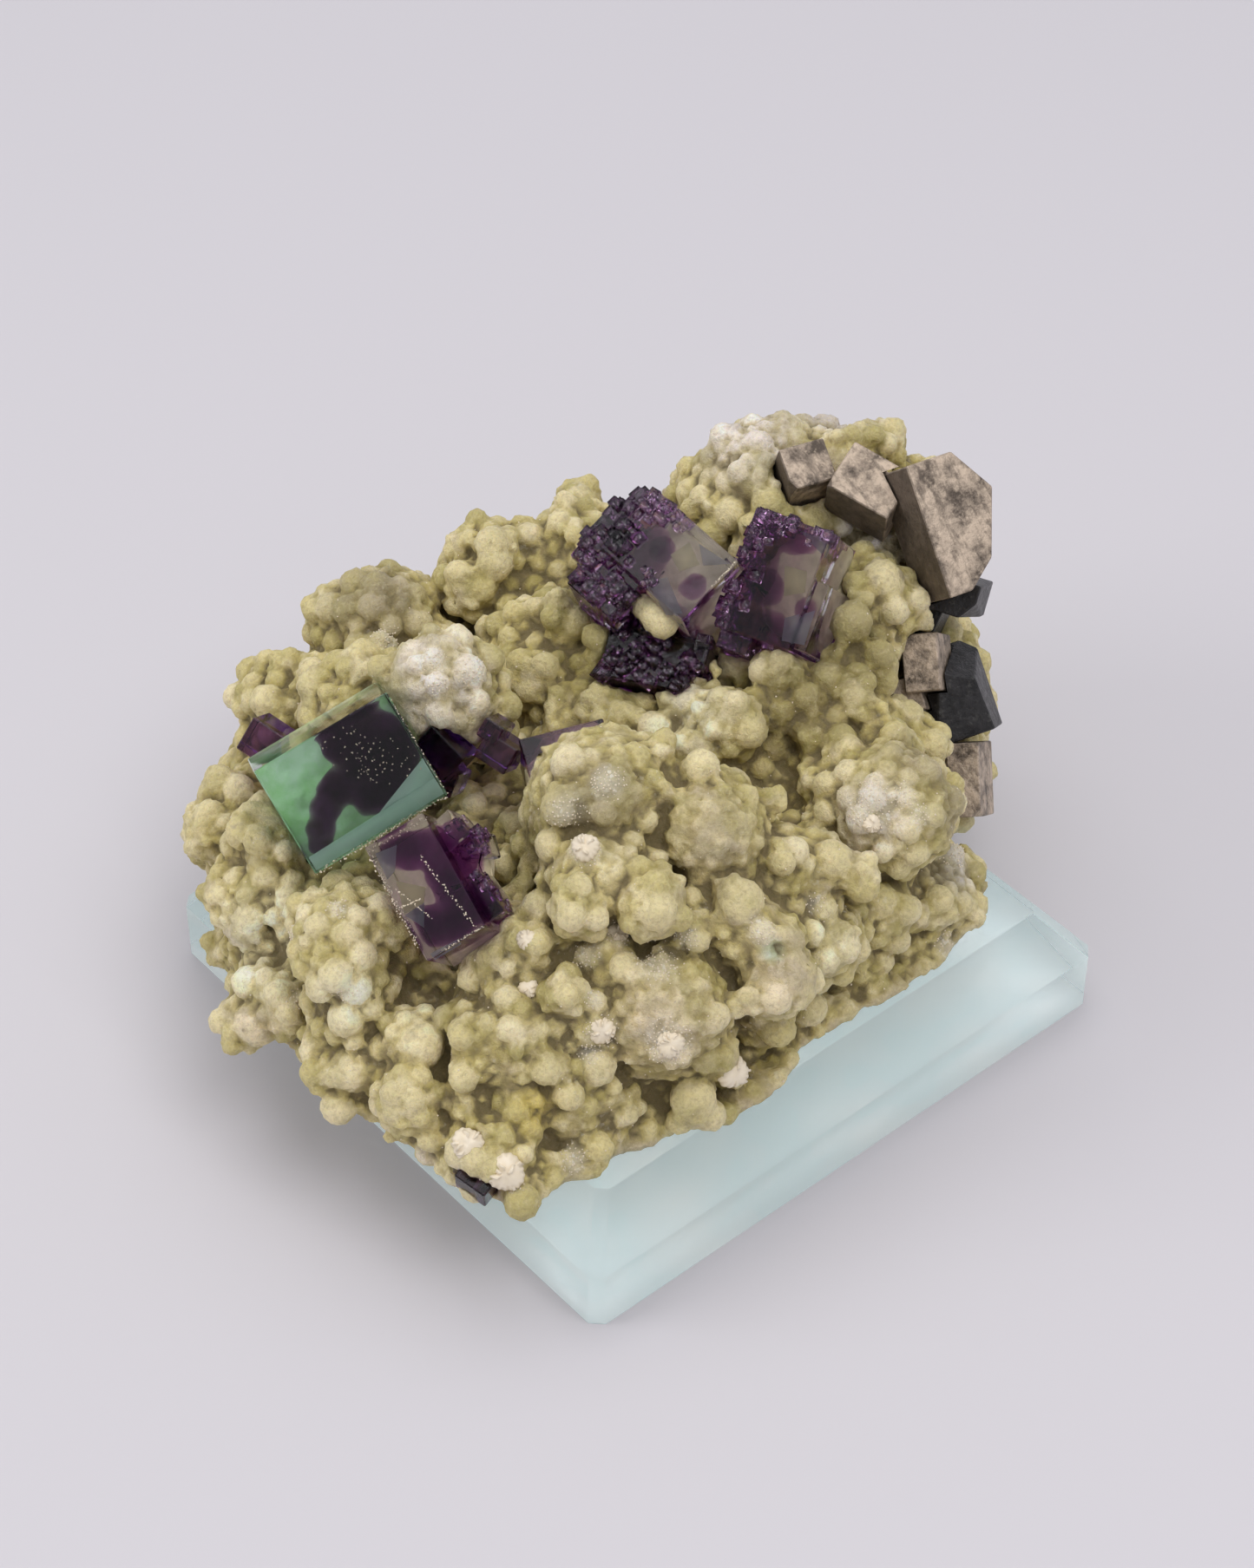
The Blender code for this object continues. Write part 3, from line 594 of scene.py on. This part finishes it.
def clear_look(name, tint, absorbs, density, roughness=0.02, ior=1.434, skin=0.25, shine=0.5):
    """A clear crystal whose colour comes from the depth that light goes through."""
    g = Graph(name)
    g.set(Base_Color=tint, Roughness=roughness, IOR=ior, Transmission_Weight=1.0)
    g.set(Specular_IOR_Level=shine)
    steps = g.noise(240.0, 2.0, 0.5)
    fine = g.noise(900.0, 3.0, 0.6)
    g.set(Normal=g.bump(steps, skin, 0.12 * MM, g.bump(fine, skin * 0.6, 0.05 * MM)))
    g.absorb(absorbs, density)
    return g.material


def zone_look(name, absorbs, density):
    """A coloured zone in a clear crystal: it takes light and doesn't bend it."""
    g = Graph(name)
    g.set(Base_Color=(1.0, 1.0, 1.0), Roughness=0.0, IOR=1.0, Transmission_Weight=1.0)
    g.absorb(absorbs, density)
    return g.material


def milky_look(name, light, dark):
    """The cloudy foot of a clear crystal."""
    g = Graph(name)
    cloud = g.span(g.noise(260.0, 4.0, 0.6), 0.35, 0.65)
    g.set(Base_Color=g.mix(cloud, dark, light), Roughness=0.6)
    g.set(Normal=g.bump(g.noise(700.0, 3.0, 0.6), 0.4, 0.3 * MM))
    return g.material


def veil_look(name, tint, clear):
    """A hazy sheet that lets most light on."""
    g = Graph(name)
    g.set(Base_Color=tint, Roughness=0.5, IOR=1.02, Transmission_Weight=clear)
    return g.material


def white_look():
    """White translucent plates and grains."""
    g = Graph("white_dolomite")
    tone = g.mix(g.noise(900.0), (0.90, 0.80, 0.66), (0.78, 0.66, 0.46))
    g.set(Base_Color=tone, Roughness=0.4)
    return g.material


def metal_look(name, dark, light, roughness, metallic, wear, shade_side):
    """Worn metallic faces with dark pits, and painted shade on the faces that turn to shade_side.
    """
    g = Graph(name)
    worn = g.noise(330.0, 6.0, 0.7)
    fine = g.noise(1100.0, 4.0, 0.7)
    scales = {"Vector": g.place(), "Scale": (900.0, 260.0, 260.0)}
    streak = g.noise(1.0, 4.0, 0.7, g.node("ShaderNodeMapping", scales, "Vector"))
    colour = g.mix(g.span(worn, 0.36, 0.58), dark, light)
    colour = g.mix(g.span(streak, 0.50, 0.66, 0.0, 0.7), colour, dark)
    colour = g.mix(g.span(fine, 0.55, 0.70, 0.0, 0.6), colour, wear)
    sides = {0: g.node("ShaderNodeNewGeometry", {}, "True Normal"), 1: shade_side}
    facing = g.node("ShaderNodeVectorMath", sides, "Value", operation="DOT_PRODUCT")
    # Painted shade: faces that turn to shade_side are mixed towards the dark colour
    colour = g.mix(g.span(facing, 0.62, 0.80, 0.0, 0.8), colour, dark)
    g.set(Base_Color=colour, Metallic=metallic, Specular_IOR_Level=0.35)
    g.set(Roughness=g.span(fine, 0.3, 0.7, roughness, roughness + 0.25))
    pits = g.bump(fine, 0.5, 0.25 * MM)
    g.set(Normal=g.bump(worn, 0.6, 0.8 * MM, pits))
    return g.material


def form_tree(forms):
    """Search tree of some forms."""
    corners, faces = joined(forms)
    return BVHTree.FromPolygons(corners.tolist(), faces.tolist())


def shown(tree, places):
    """Each place whose pixel shows the rock, with the point seen, its normal and distance."""
    for place in places:
        start, way = ray(place)
        hit, normal, _, far = tree.ray_cast(start, way)
        if hit is not None:
            yield place, hit, normal, far


def seen_nodules(tree, nodules):
    """The photograph's nodules, as (middle, radius) in metres, each set on what is behind it."""
    found = []
    small, big, least, more = NODULE_SUNK
    for (_, _, size), hit, normal, far in shown(tree, nodules):
        radius = size / FOCAL_PX * far
        grown = min(1.0, max(0.0, (size - small) / (big - small)))
        sunk = BROAD_SUNK if size > BROAD else least + more * grown
        found.append((hit - normal * sunk * radius, radius))
    return found


def at_height(pixel, height):
    """The point, in metres, at a height that is seen at a pixel."""
    eye, way = ray(pixel)
    return eye + way * ((height * MM - eye.z) / way.z)


def rim_spots():
    """Points along the broken lower edge, in metres."""
    spots = []
    for start, end in zip(RIM, RIM[1:]):
        count = math.ceil(math.dist(start, end) / RIM_STEP)
        for number in range(count):
            share = number / count
            spots.append(at_height([a + (b - a) * share for a, b in zip(start, end)], RIM_AT))
    return spots


def rim_forms(picker):
    """Thin plates along the broken lower edge."""
    forms = []
    corners, faces = unit_ball(3)
    inward = Vector((FORWARD.x, FORWARD.y, 0)).normalized()
    for spot in rim_spots():
        middle = spot + inward * MM * picker.uniform(1.6, 2.0)
        middle.z += MM * picker.uniform(0.3, 0.5)
        tilt = [picker.uniform(-0.1, 0.1), picker.uniform(-0.1, 0.1), picker.uniform(0, 3)]
        sizes = np.array((picker.uniform(1.7, 2.6), picker.uniform(1.5, 2.2), 0.8)) * MM
        forms.append((placed(corners * sizes, Euler(tilt).to_matrix(), middle), faces))
    return forms


def on_rim(spot, rim):
    """Whether a point is on the lower part of the broken edge."""
    if spot.z > (RIM_AT + RIM_CLEAR) * MM:
        return False
    return any((spot - other).length < (RIM_CLEAR + 1) * MM for other in rim)


def in_smooth_part(spot, way):
    """Whether a point is seen in a part of the photograph that has a smooth skin."""
    if way.dot(FORWARD) > TURNED_AWAY:
        return False
    seen = pixel_of(spot)
    return any(math.dist(seen, (x, y)) < size for x, y, size in SMOOTH_PARTS)


def keep_to_side(places, numbers, tree, gap):
    """Moves points until they are a gap out of a skin, or within it for a gap below 0."""
    side = math.copysign(1, gap)
    for number in numbers:
        place = Vector(places[number])
        hit, normal, _, _ = tree.find_nearest(place, SEARCH * MM)
        if hit is not None and (place - hit).dot(normal) * side < gap * side * MM:
            places[number] = hit + normal * gap * MM
    return places


def spots_on(corners, faces, picker, lowest=-math.inf):
    """Endless random points on triangles, each with the way that its triangle faces."""
    spots = corners[faces]
    facing = np.cross(spots[:, 1] - spots[:, 0], spots[:, 2] - spots[:, 0])
    areas = np.linalg.norm(facing, axis=1)
    areas[spots[:, :, 2].mean(1) < lowest] = 0.0
    sums = np.cumsum(areas)
    while True:
        number = int(np.searchsorted(sums, picker.random() * sums[-1]))
        a, b = sorted((picker.random(), picker.random()))
        p = spots[number]
        yield p[0] * a + p[1] * (b - a) + p[2] * (1 - b), facing[number]


def more_balls(forms, taken, crystals, picker, kind):
    """Balls all over the rock, none on a crystal and none buried in another."""
    radii, tries, spacing, sunk, lobe_share = kind
    rim = rim_spots()
    made = []
    reach = (radii[1] + BROADEST) * MM
    cells = {}
    for middle, radius in taken:
        cells.setdefault(tuple(int(c // reach) for c in middle), []).append((middle, radius))
    source = spots_on(*joined(forms), picker, FACES_FROM * MM)
    for _, (spot, way) in zip(range(tries), source):
        spot = Vector(spot)
        way = Vector(way).normalized()
        radius = (radii[0] + (radii[1] - radii[0]) * picker.random() ** FAVOUR) * MM
        if on_rim(spot, rim):
            continue
        on_lobe = any(abs((spot - m).length - r) < LOBE_SKIN * MM for m, r in LOBES)
        on_lobe = on_lobe or in_smooth_part(spot, way)
        if on_lobe and picker.random() > lobe_share:
            continue
        depth = picker.uniform(*sunk) + (DEEPER if on_lobe else 0.0)
        place = spot - way * radius * depth
        if place.z < BALLS_FROM * MM + 0.6 * radius:
            continue
        if crystals.find_nearest(spot)[3] < CLEAR_OF_CRYSTALS * MM:
            continue
        if crystals.find_nearest(place)[3] < OFF_CRYSTAL * radius:
            continue
        cell = tuple(int(c // reach) for c in place)
        near = [
            other
            for x in (-1, 0, 1) for y in (-1, 0, 1) for z in (-1, 0, 1)
            for other in cells.get((cell[0] + x, cell[1] + y, cell[2] + z), [])
        ]
        if any((place - m).length < 0.5 * spacing * (radius + r) for m, r in near):
            continue
        cells.setdefault(cell, []).append((place, radius))
        made.append((place, radius))
    return made


def smooth_values(mesh, values, steps):
    """Values at the vertices, averaged over their neighbours this many times."""
    ends = np.empty(len(mesh.edges) * 2, np.int32)
    mesh.edges.foreach_get("vertices", ends)
    one, other = ends.reshape(-1, 2).T
    count = len(mesh.vertices)
    share = np.bincount(ends, minlength=count).clip(1)[:, None]
    for _ in range(steps):
        sums = [
            np.bincount(one, axis[other], count) + np.bincount(other, axis[one], count)
            for axis in values.T
        ]
        values = 0.5 * values + 0.5 * np.transpose(sums) / share
    return values


def vertex_array(mesh, normals=False):
    """Where a mesh's vertices are in metres, or the ways that they face."""
    values = np.empty(len(mesh.vertices) * 3)
    if normals:
        mesh.vertex_normals.foreach_get("vector", values)
    else:
        mesh.vertices.foreach_get("co", values)
    return values.reshape(-1, 3)


def move_vertices(mesh, places):
    mesh.vertices.foreach_set("co", places.astype(np.float32).ravel())
    mesh.update()


def standing_out(mesh, steps):
    """How far each vertex stands out of its surroundings, in metres along its normal."""
    places = vertex_array(mesh)
    away = places - smooth_values(mesh, places, steps)
    return (away * vertex_array(mesh, True)).sum(1)


def fading(places, middle, reach, steep):
    """1 near a point, falling to 0 at reach millimetres from it."""
    far = np.linalg.norm(places - np.array(middle), axis=1) / (reach * MM)
    return np.clip(steep - steep * far, 0, 1)


def store(mesh, name, kind, field, values):
    """Keeps a value at each vertex."""
    kept = mesh.attributes.new(name, kind, "POINT")
    kept.data.foreach_set(field, values.ravel().astype(np.float32))


def paint_rock(rock, balls, creamy, surface, picker):
    """Writes the colour, the sugar and the relief that paints shade and highlights at each vertex
    of the rock.
    """
    mesh = rock.data
    places = vertex_array(mesh)
    # Relief: low in hollows, where the material paints shade, and high on tops, where it paints
    # highlights
    painted_shade_and_highlight = 0.5
    for steps, depth, weight in RELIEF:
        painted_shade_and_highlight = painted_shade_and_highlight + weight * (standing_out(mesh, steps) / (depth * MM))
    kinds = [
        Vector(CREAM if n < creamy or picker.random() < CREAM_SHARE else OLIVE).lerp(
            Vector(YELLOW), picker.random() * (0.6 if n < creamy else 1.0)
        )
        for n in range(len(balls))
    ]
    tree = KDTree(len(balls))
    for number, (middle, _) in enumerate(balls):
        tree.insert(middle, number)
    tree.balance()
    tints = np.ones((len(places), 4))
    for number, place in enumerate(places):
        found = tree.find_n(place, 3)
        depth, ball = min((far - balls[ball][1], ball) for _, ball, far in found)
        share = min(1.0, max(0.0, 1.0 - depth / (BALL_COAT * MM)))
        tints[number, :3] = Vector(GROUND).lerp(kinds[ball], share)
    shade = (tints[:, :3].mean(1, keepdims=True) / np.mean(YELLOW)).clip(0.75, 1.25)
    for (_, _, reach, tone), hit, _, _ in shown(surface, TINTS):
        share = TINT_SHARE * fading(places, hit, reach, 1.6)[:, None]
        tints[:, :3] = tints[:, :3] * (1 - share) + np.array(tone) * shade * share
    sweet = np.zeros(len(places))
    for (_, _, reach), hit, _, _ in shown(surface, SUGAR):
        sweet = np.maximum(sweet, fading(places, hit, reach, 1.5))
    store(mesh, "sugar", "FLOAT", "value", sweet)
    store(mesh, "tint", "FLOAT_COLOR", "color", tints)
    store(mesh, "painted_shade_and_highlight", "FLOAT", "value", np.clip(painted_shade_and_highlight, 0, 1))


def displace(obj, name, waves):
    """Moves the skin in and out by clouds of this size and height."""
    size, height = waves
    clouds = bpy.data.textures.new(name, "CLOUDS")
    clouds.noise_scale = size * MM
    clouds.noise_depth = 2
    modify(
        obj, "DISPLACE",
        texture=clouds, texture_coords="LOCAL", mid_level=0.5, strength=height * MM,
    )


def sink_valleys(obj):
    """Sinks the hollows between lobes further in and leaves the hills as they are."""
    share, steps, most = SINK
    mesh = obj.data
    depth = smooth_values(mesh, standing_out(mesh, steps)[:, None], 6)
    depth = (share * depth).clip(-most * MM, 0.0)
    places = vertex_array(mesh)
    depth[places[:, 2] < VALLEYS_FROM * MM] = 0.0
    move_vertices(mesh, places + vertex_array(mesh, True) * depth)


def build_rock(look):
    """Lobes with domes on them, then nodules on those, fused, roughened and thinned."""
    picker = random.Random(SEED)
    names = [name for name in nodes if "fluorite" in name or "crystal" in name]
    crystal_forms = [node_as_form(nodes[name]) for name in names]
    crystals = form_tree(crystal_forms)
    base = [node_as_form(nodes["dolomite_matrix"])] + balls_as_forms(LOBES, 4)
    clusters = more_balls(base, [], crystals, picker, CLUSTERS)
    broad = seen_nodules(form_tree(base), [n for n in NODULES if n[2] > BROAD])
    swellings = balls_as_forms(clusters + broad, 3)
    ground = fused("ground", base + swellings + rim_forms(picker), GROUND_GRAIN, look)
    modify(ground, "SMOOTH", factor=0.5, iterations=6)
    displace(ground, "uneven lobes", UNEVEN)
    apply_modifiers(ground)
    sink_valleys(ground)
    form = node_as_form(ground)
    bpy.data.objects.remove(ground)
    seen = seen_nodules(form_tree([form]), [n for n in NODULES if n[2] <= BROAD])
    seen += [(at_height(pixel, height), size * MM) for pixel, height, size in CRYSTAL_NODULES]
    grapes = more_balls([form], seen, crystals, picker, GRAPES)
    bumps = more_balls([form], seen + grapes, crystals, picker, BUMPS)
    beads = more_balls([form], seen + grapes + bumps, crystals, picker, BEADS)
    forms = [form] + balls_as_forms(seen + grapes, 3) + balls_as_forms(bumps + beads, 2)
    rock = fused("dolomite_crust", forms, GRAIN, look)
    modify(rock, "SMOOTH", factor=0.5, iterations=1)
    displace(rock, "lumps", LUMPS)
    displace(rock, "small lumps", SMALL_LUMPS)
    rock.data.calc_loop_triangles()
    kept = min(1.0, MOST_FACES / len(rock.data.loop_triangles))
    modify(rock, "DECIMATE", ratio=kept)
    apply_modifiers(rock)
    places = vertex_array(rock.data)
    corners = joined(crystal_forms)[0]
    near = ((places > corners.min(0)) & (places < corners.max(0))).all(1)
    places = keep_to_side(places, near.nonzero()[0], crystals, SNUG)
    places[:, 2] = places[:, 2].clip(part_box("dolomite_matrix")[0].z)
    move_vertices(rock.data, places)
    rock.data.shade_smooth()
    surface = form_tree([node_as_form(rock)])
    paint_rock(rock, seen + grapes + bumps, len(seen), surface, picker)
    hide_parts("dolomite_matrix")
    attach(rock, "root")
    return rock, surface


def box_form(middle, sizes, turn):
    """A box: its middle and sizes in metres, and its turn as a rotation matrix."""
    signs = np.array([(x, y, z) for x in (-1, 1) for y in (-1, 1) for z in (-1, 1)])
    corners = placed(signs * np.array(sizes) / 2, turn, middle)
    quads = [(0, 1, 3, 2), (4, 6, 7, 5), (0, 4, 5, 1), (2, 3, 7, 6), (0, 2, 6, 4), (1, 5, 7, 3)]
    faces = [t for a, b, c, d in quads for t in ((a, b, c), (a, c, d))]
    return corners, np.array(faces)


def rosette_forms(middle, facing, radius, picker):
    """A low fluted head like a shell, with a few thin plates that stand out of it."""
    base = facing.to_track_quat("Z", "X").to_matrix()
    corners, faces = unit_ball(4)
    angle = np.arctan2(corners[:, 1], corners[:, 0])
    out = np.hypot(corners[:, 0], corners[:, 1])
    flutes = picker.randint(12, 17)
    groove = np.sqrt(np.abs(np.sin(angle * flutes / 2 + picker.random())))
    swell = 0.84 + 0.18 * groove * out + 0.06 * np.sin(angle * 3 + picker.random() * 6)
    core = corners * swell[:, None] * np.array((1.0, 1.0, 0.62)) * radius
    forms = [(placed(core, base, middle), faces)]
    for _ in range(picker.randint(8, 12)):
        angle = picker.uniform(0, 2 * math.pi)
        rise = math.radians(picker.uniform(5, 60))
        roll = math.radians(picker.uniform(50, 130))
        turn = base @ Euler((roll, -rise, angle)).to_matrix()
        long = radius * picker.uniform(0.75, 1.05)
        wide = radius * picker.uniform(0.35, 0.55)
        thin = radius * picker.uniform(0.10, 0.16)
        corners, faces = box_form((0, 0, 0), (long, wide, thin), Matrix.Identity(3))
        corners[:, 0] += long / 2
        corners[:, 1] *= 0.45 + 0.55 * corners[:, 0] / long
        forms.append((placed(corners, turn, middle), faces))
    return forms


def build_rosettes(surface, look):
    picker = random.Random(SEED + 1)
    forms = []
    for place, hit, normal, far in shown(surface, ROSETTES):
        radius = place[2] / FOCAL_PX * far
        toward = (normal - ray(place)[1]).normalized()
        forms += rosette_forms(hit - normal * 0.1 * radius, toward, 1.1 * radius, picker)
    add_piece("dolomite_rosettes", forms, look)


def build_sugar(rock, look):
    """Tiny blocky crystals that catch the light on the sugary parts of the rock."""
    picker = random.Random(SEED + 2)
    mesh = rock.data
    places = vertex_array(mesh)
    normals = vertex_array(mesh, True)
    sweet = np.empty(len(places), np.float32)
    mesh.attributes["sugar"].data.foreach_get("value", sweet)
    weights = np.where(places[:, 2] > SUGAR_FROM * MM, SUGAR_BARE + sweet, 0.0)
    sums = np.cumsum(weights)
    forms = []
    for _ in range(SUGAR_GRAINS):
        number = int(np.searchsorted(sums, picker.random() * sums[-1]))
        size = MM * picker.uniform(*SUGAR_SIZES)
        turn = Euler([picker.uniform(0, 2 * math.pi) for _ in range(3)]).to_matrix()
        spot = places[number] - normals[number] * 0.05 * size
        forms.append(box_form(spot, (size, size * 0.8, size * 0.6), turn))
    add_piece("dolomite_sugar", forms, look)


def turned(degrees):
    """Rotation matrix for angles about the x, y and z axis."""
    return Euler([math.radians(angle) for angle in degrees]).to_matrix()


def local_turn(crystal):
    """Place in metres and turn of a crystal's own frame."""
    middle, turn = FRAMES[crystal]
    return np.array(middle) * MM, np.array(turned(turn))


def build_crusts(look):
    """Small crystals that stand a little out of the purple ones' rough sides."""
    picker = random.Random(SEED + 3)
    forms = []
    for crystal, count, sizes, low, high in CRUSTS:
        middle, spin = local_turn(crystal)
        corners, faces = node_as_form(nodes[crystal])
        source = spots_on((corners - middle) @ spin / MM, faces, picker)
        made = 0
        for _, (spot, way) in zip(range(count * CRUST_TRIES), source):
            out = way / np.linalg.norm(way)
            if (spot < low).any() or (spot > high).any() or (spin @ out)[2] < CRUST_DOWN:
                continue
            size = picker.uniform(*sizes)
            shape = np.array([size * picker.uniform(0.7, 1.2) for _ in range(3)]) * MM
            tilt = turned([picker.uniform(-9, 9) for _ in range(3)])
            place = middle + spin @ ((spot - out * size * picker.uniform(0.15, 0.42)) * MM)
            forms.append(box_form(place, shape, spin @ np.array(tilt)))
            made += 1
            if made == count:
                break
    add_piece("purple_crust", forms, look)


def build_chips(look):
    picker = random.Random(SEED + 4)
    forms = []
    for crystal, start, end, count, spread in CHIPS:
        middle, spin = local_turn(crystal)
        for number in range(count):
            share = (number + picker.random()) / count
            spot = np.array(start) * (1 - share) + np.array(end) * share
            spot[:2] += [picker.uniform(-spread, spread) for _ in range(2)]
            turn = Euler([picker.uniform(0, math.pi) for _ in range(3)]).to_matrix()
            size = MM * picker.uniform(*CHIP_SIZES)
            place = middle + spin @ (spot * MM)
            forms.append(box_form(place, (size, size * 0.6, size * 0.5), turn))
    add_piece("white_edge_chips", forms, look)


def build_zones(looks):
    """Coloured zones and milky bases inside the clear crystals."""
    corners, faces = unit_ball(4)
    for name, crystal, look, parts in ZONES:
        middle, spin = local_turn(crystal)
        forms = [((corners * np.array(half) + np.array(at)) * MM, faces) for at, half in parts]
        zone = fused(name, forms, ZONE_GRAIN, looks[look])
        displace(zone, name, ZONE_WAVES)
        displace(zone, f"{name} fine", ZONE_LUMPS)
        apply_modifiers(zone)
        tree = form_tree([node_as_form(nodes[crystal])])
        gap = FOOT_GAP if "milky" in name else ZONE_GAP
        places = placed(vertex_array(zone.data), spin, middle)
        for _ in range(2):
            places = smooth_values(zone.data, places, 2)
            places = keep_to_side(places, range(len(places)), tree, gap)
        move_vertices(zone.data, places)
        zone.data.shade_smooth()
        "green_fluorite" if "green" in name else "purple_fluorite"
        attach(zone, "root")


def build_veils(looks):
    """Thin fracture planes inside the clear crystals."""
    forms = {look: [] for look in looks}
    for crystal, look, outline, height in VEILS:
        middle, spin = local_turn(crystal)
        count = len(outline)
        corners = np.array([(x, y, height + z) for z in (0, VEIL_THICK) for x, y in outline])
        caps = [(0, n, n + 1) for n in range(1, count - 1)]
        faces = [(c, b, a) for a, b, c in caps] + [tuple(n + count for n in cap) for cap in caps]
        for a in range(count):
            b = (a + 1) % count
            faces += [(a, b, b + count), (a, b + count, a + count)]
        if np.cross(corners[1] - corners[0], corners[2] - corners[0])[2] < 0:
            faces = [face[::-1] for face in faces]
        forms[look].append((placed(corners * MM, spin, middle), np.array(faces)))
    for look, parts in forms.items():
        add_piece(f"{look}_veils", parts, looks[look])


def dress_nodes():
    """Own materials on the CAD pieces that stay, by how their names start."""
    looks = {
        "glass_base": clear_look(
            "stand_glass", (0.97, 1.0, 1.0), (0.60, 0.90, 0.92), 3.0, 0.0, 1.5, 0.0),
        "green_fluorite": clear_look(
            "green_fluorite", (0.98, 1.0, 0.99), (0.30, 0.86, 0.50), 36.0),
        "purple_fluorite_small": clear_look(
            "dark_fluorite", (0.66, 0.48, 0.76), (0.40, 0.10, 0.50), 420.0, 0.12, shine=0.3),
        "purple_fluorite_upper": clear_look(
            "rough_purple_fluorite", (0.97, 0.97, 1.0), (0.84, 0.80, 0.90), 30.0, 0.06,
            skin=0.8, shine=0.25),
        "purple_fluorite_front": clear_look(
            "purple_fluorite", (0.98, 0.98, 1.0), (0.84, 0.84, 0.90), 24.0, shine=0.2),
        # The last vector of each metal look is the side whose faces get painted shade
        "bronze_crystal": metal_look(
            "bronze_crystal", (0.10, 0.077, 0.06), (0.60, 0.48, 0.37), 0.42, 0.35,
            (0.74, 0.60, 0.46), (-0.97, 0.26, -0.05)),
        "black_crystal": metal_look(
            "black_crystal", (0.006, 0.0055, 0.006), (0.026, 0.024, 0.025), 0.25, 0.0,
            (0.09, 0.085, 0.08), (0, 0, -1)),
    }
    for name, node in nodes.items():
        for start, look in looks.items():
            if name.startswith(start):
                node.data.materials.clear()
                node.data.materials.append(look)


def add_card():
    """White card under the glass, which the clear glass shows as bright as the table; it glows
    faintly as painted light, with painted pale cyan and white patches of light.
    """
    bm = bmesh.new()
    bm.from_mesh(nodes["glass_base"].data)
    others = [f for f in bm.faces if f.normal.z > -0.9 or f.calc_center_median().z > 0.1 * MM]
    bmesh.ops.delete(bm, geom=others, context="FACES")
    middle = sum((v.co for v in bm.verts), Vector()) / len(bm.verts)
    for vert in bm.verts:
        vert.co = middle + (vert.co - middle) * CARD_SHRINK
        vert.co.z = CARD_AT * MM
    bmesh.ops.reverse_faces(bm, faces=bm.faces)
    g = Graph("white_card")
    # Painted light: cloudy pale cyan and white patches, seen through the glass as patches of light
    cloud = g.span(g.noise(55.0, 2.0), 0.4, 0.6)
    tone = g.mix(cloud, (0.80, 0.90, 0.92), (0.97, 0.97, 0.97))
    g.set(Base_Color=tone, Roughness=0.8, Specular_IOR_Level=0.0)
    # Painted light: the card glows faintly, though it is no lamp
    g.set(Emission_Color=(0.86, 0.97, 1.0), Emission_Strength=0.25)
    card = piece_of("card", mesh_from("card", bm), g.material)
    card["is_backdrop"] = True


def add_stage():
    """Pale floor, soft studio light and an even pale surround."""
    bm = bmesh.new()
    bmesh.ops.create_grid(bm, x_segments=1, y_segments=1, size=FLOOR_HALF)
    bmesh.ops.translate(bm, verts=bm.verts, vec=(0, 0, FLOOR_AT * MM))
    g = Graph("pale_floor")
    g.set(Base_Color=(0.645, 0.618, 0.645), Roughness=0.7, Specular_IOR_Level=0.2)
    floor = piece_of("floor", mesh_from("floor", bm), g.material)
    floor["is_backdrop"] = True
    world = bpy.data.worlds.new("studio")
    bpy.context.scene.world = world
    world.use_nodes = True
    ground = world.node_tree.nodes["Background"]
    ground.inputs["Color"].default_value = SURROUND
    ground.inputs["Strength"].default_value = SURROUND_STRENGTH
    for name, at, aim, size, power in LIGHTS:
        data = bpy.data.lights.new(name, "AREA")
        data.size = size
        data.energy = power
        lamp = linked(name, data)
        lamp.location = at
        lamp.rotation_euler = (Vector(at) - Vector(aim)).to_track_quat("Z", "Y").to_euler()


def let_light_through():
    """Enough light bounces for clear solids, where light turns back inside many times."""
    paths = bpy.context.scene.cycles
    paths.max_bounces = 28
    paths.glossy_bounces = 20
    paths.transmission_bounces = 24


def main():
    add_camera()
    add_stage()
    add_card()
    dress_nodes()
    rock, surface = build_rock(dolomite_look())
    white = white_look()
    build_rosettes(surface, white)
    build_sugar(rock, white)
    build_zones({
        "brown purple": zone_look("brown_purple_zone", (0.46, 0.08, 0.44), 1000.0),
        "deep purple": zone_look("deep_purple_zone", (0.52, 0.10, 0.58), 760.0),
        "smoky purple": zone_look("smoky_purple_zone", (0.60, 0.20, 0.62), 420.0),
        "plum": zone_look("plum_zone", (0.56, 0.14, 0.56), 300.0),
        "milky green": milky_look("milky_green", (0.86, 0.95, 0.80), (0.56, 0.82, 0.42)),
        "milky beige": milky_look("milky_beige", (0.80, 0.70, 0.46), (0.58, 0.50, 0.31)),
    })
    build_veils({
        "beige": veil_look("beige_veil", (0.66, 0.60, 0.42), 0.72),
        "pale": veil_look("pale_veil", (0.60, 0.60, 0.66), 0.9),
        "mint": veil_look("mint_veil", (0.60, 0.80, 0.70), 0.55),
    })
    build_crusts(clear_look("purple_crust", (0.90, 0.76, 0.90), (0.58, 0.18, 0.50), 190.0, 0.1))
    build_chips(white)
    let_light_through()
    bpy.context.scene.view_settings.view_transform = "Standard"


main()
[[list(corner) for corner in box] for box in (cad_box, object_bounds())]
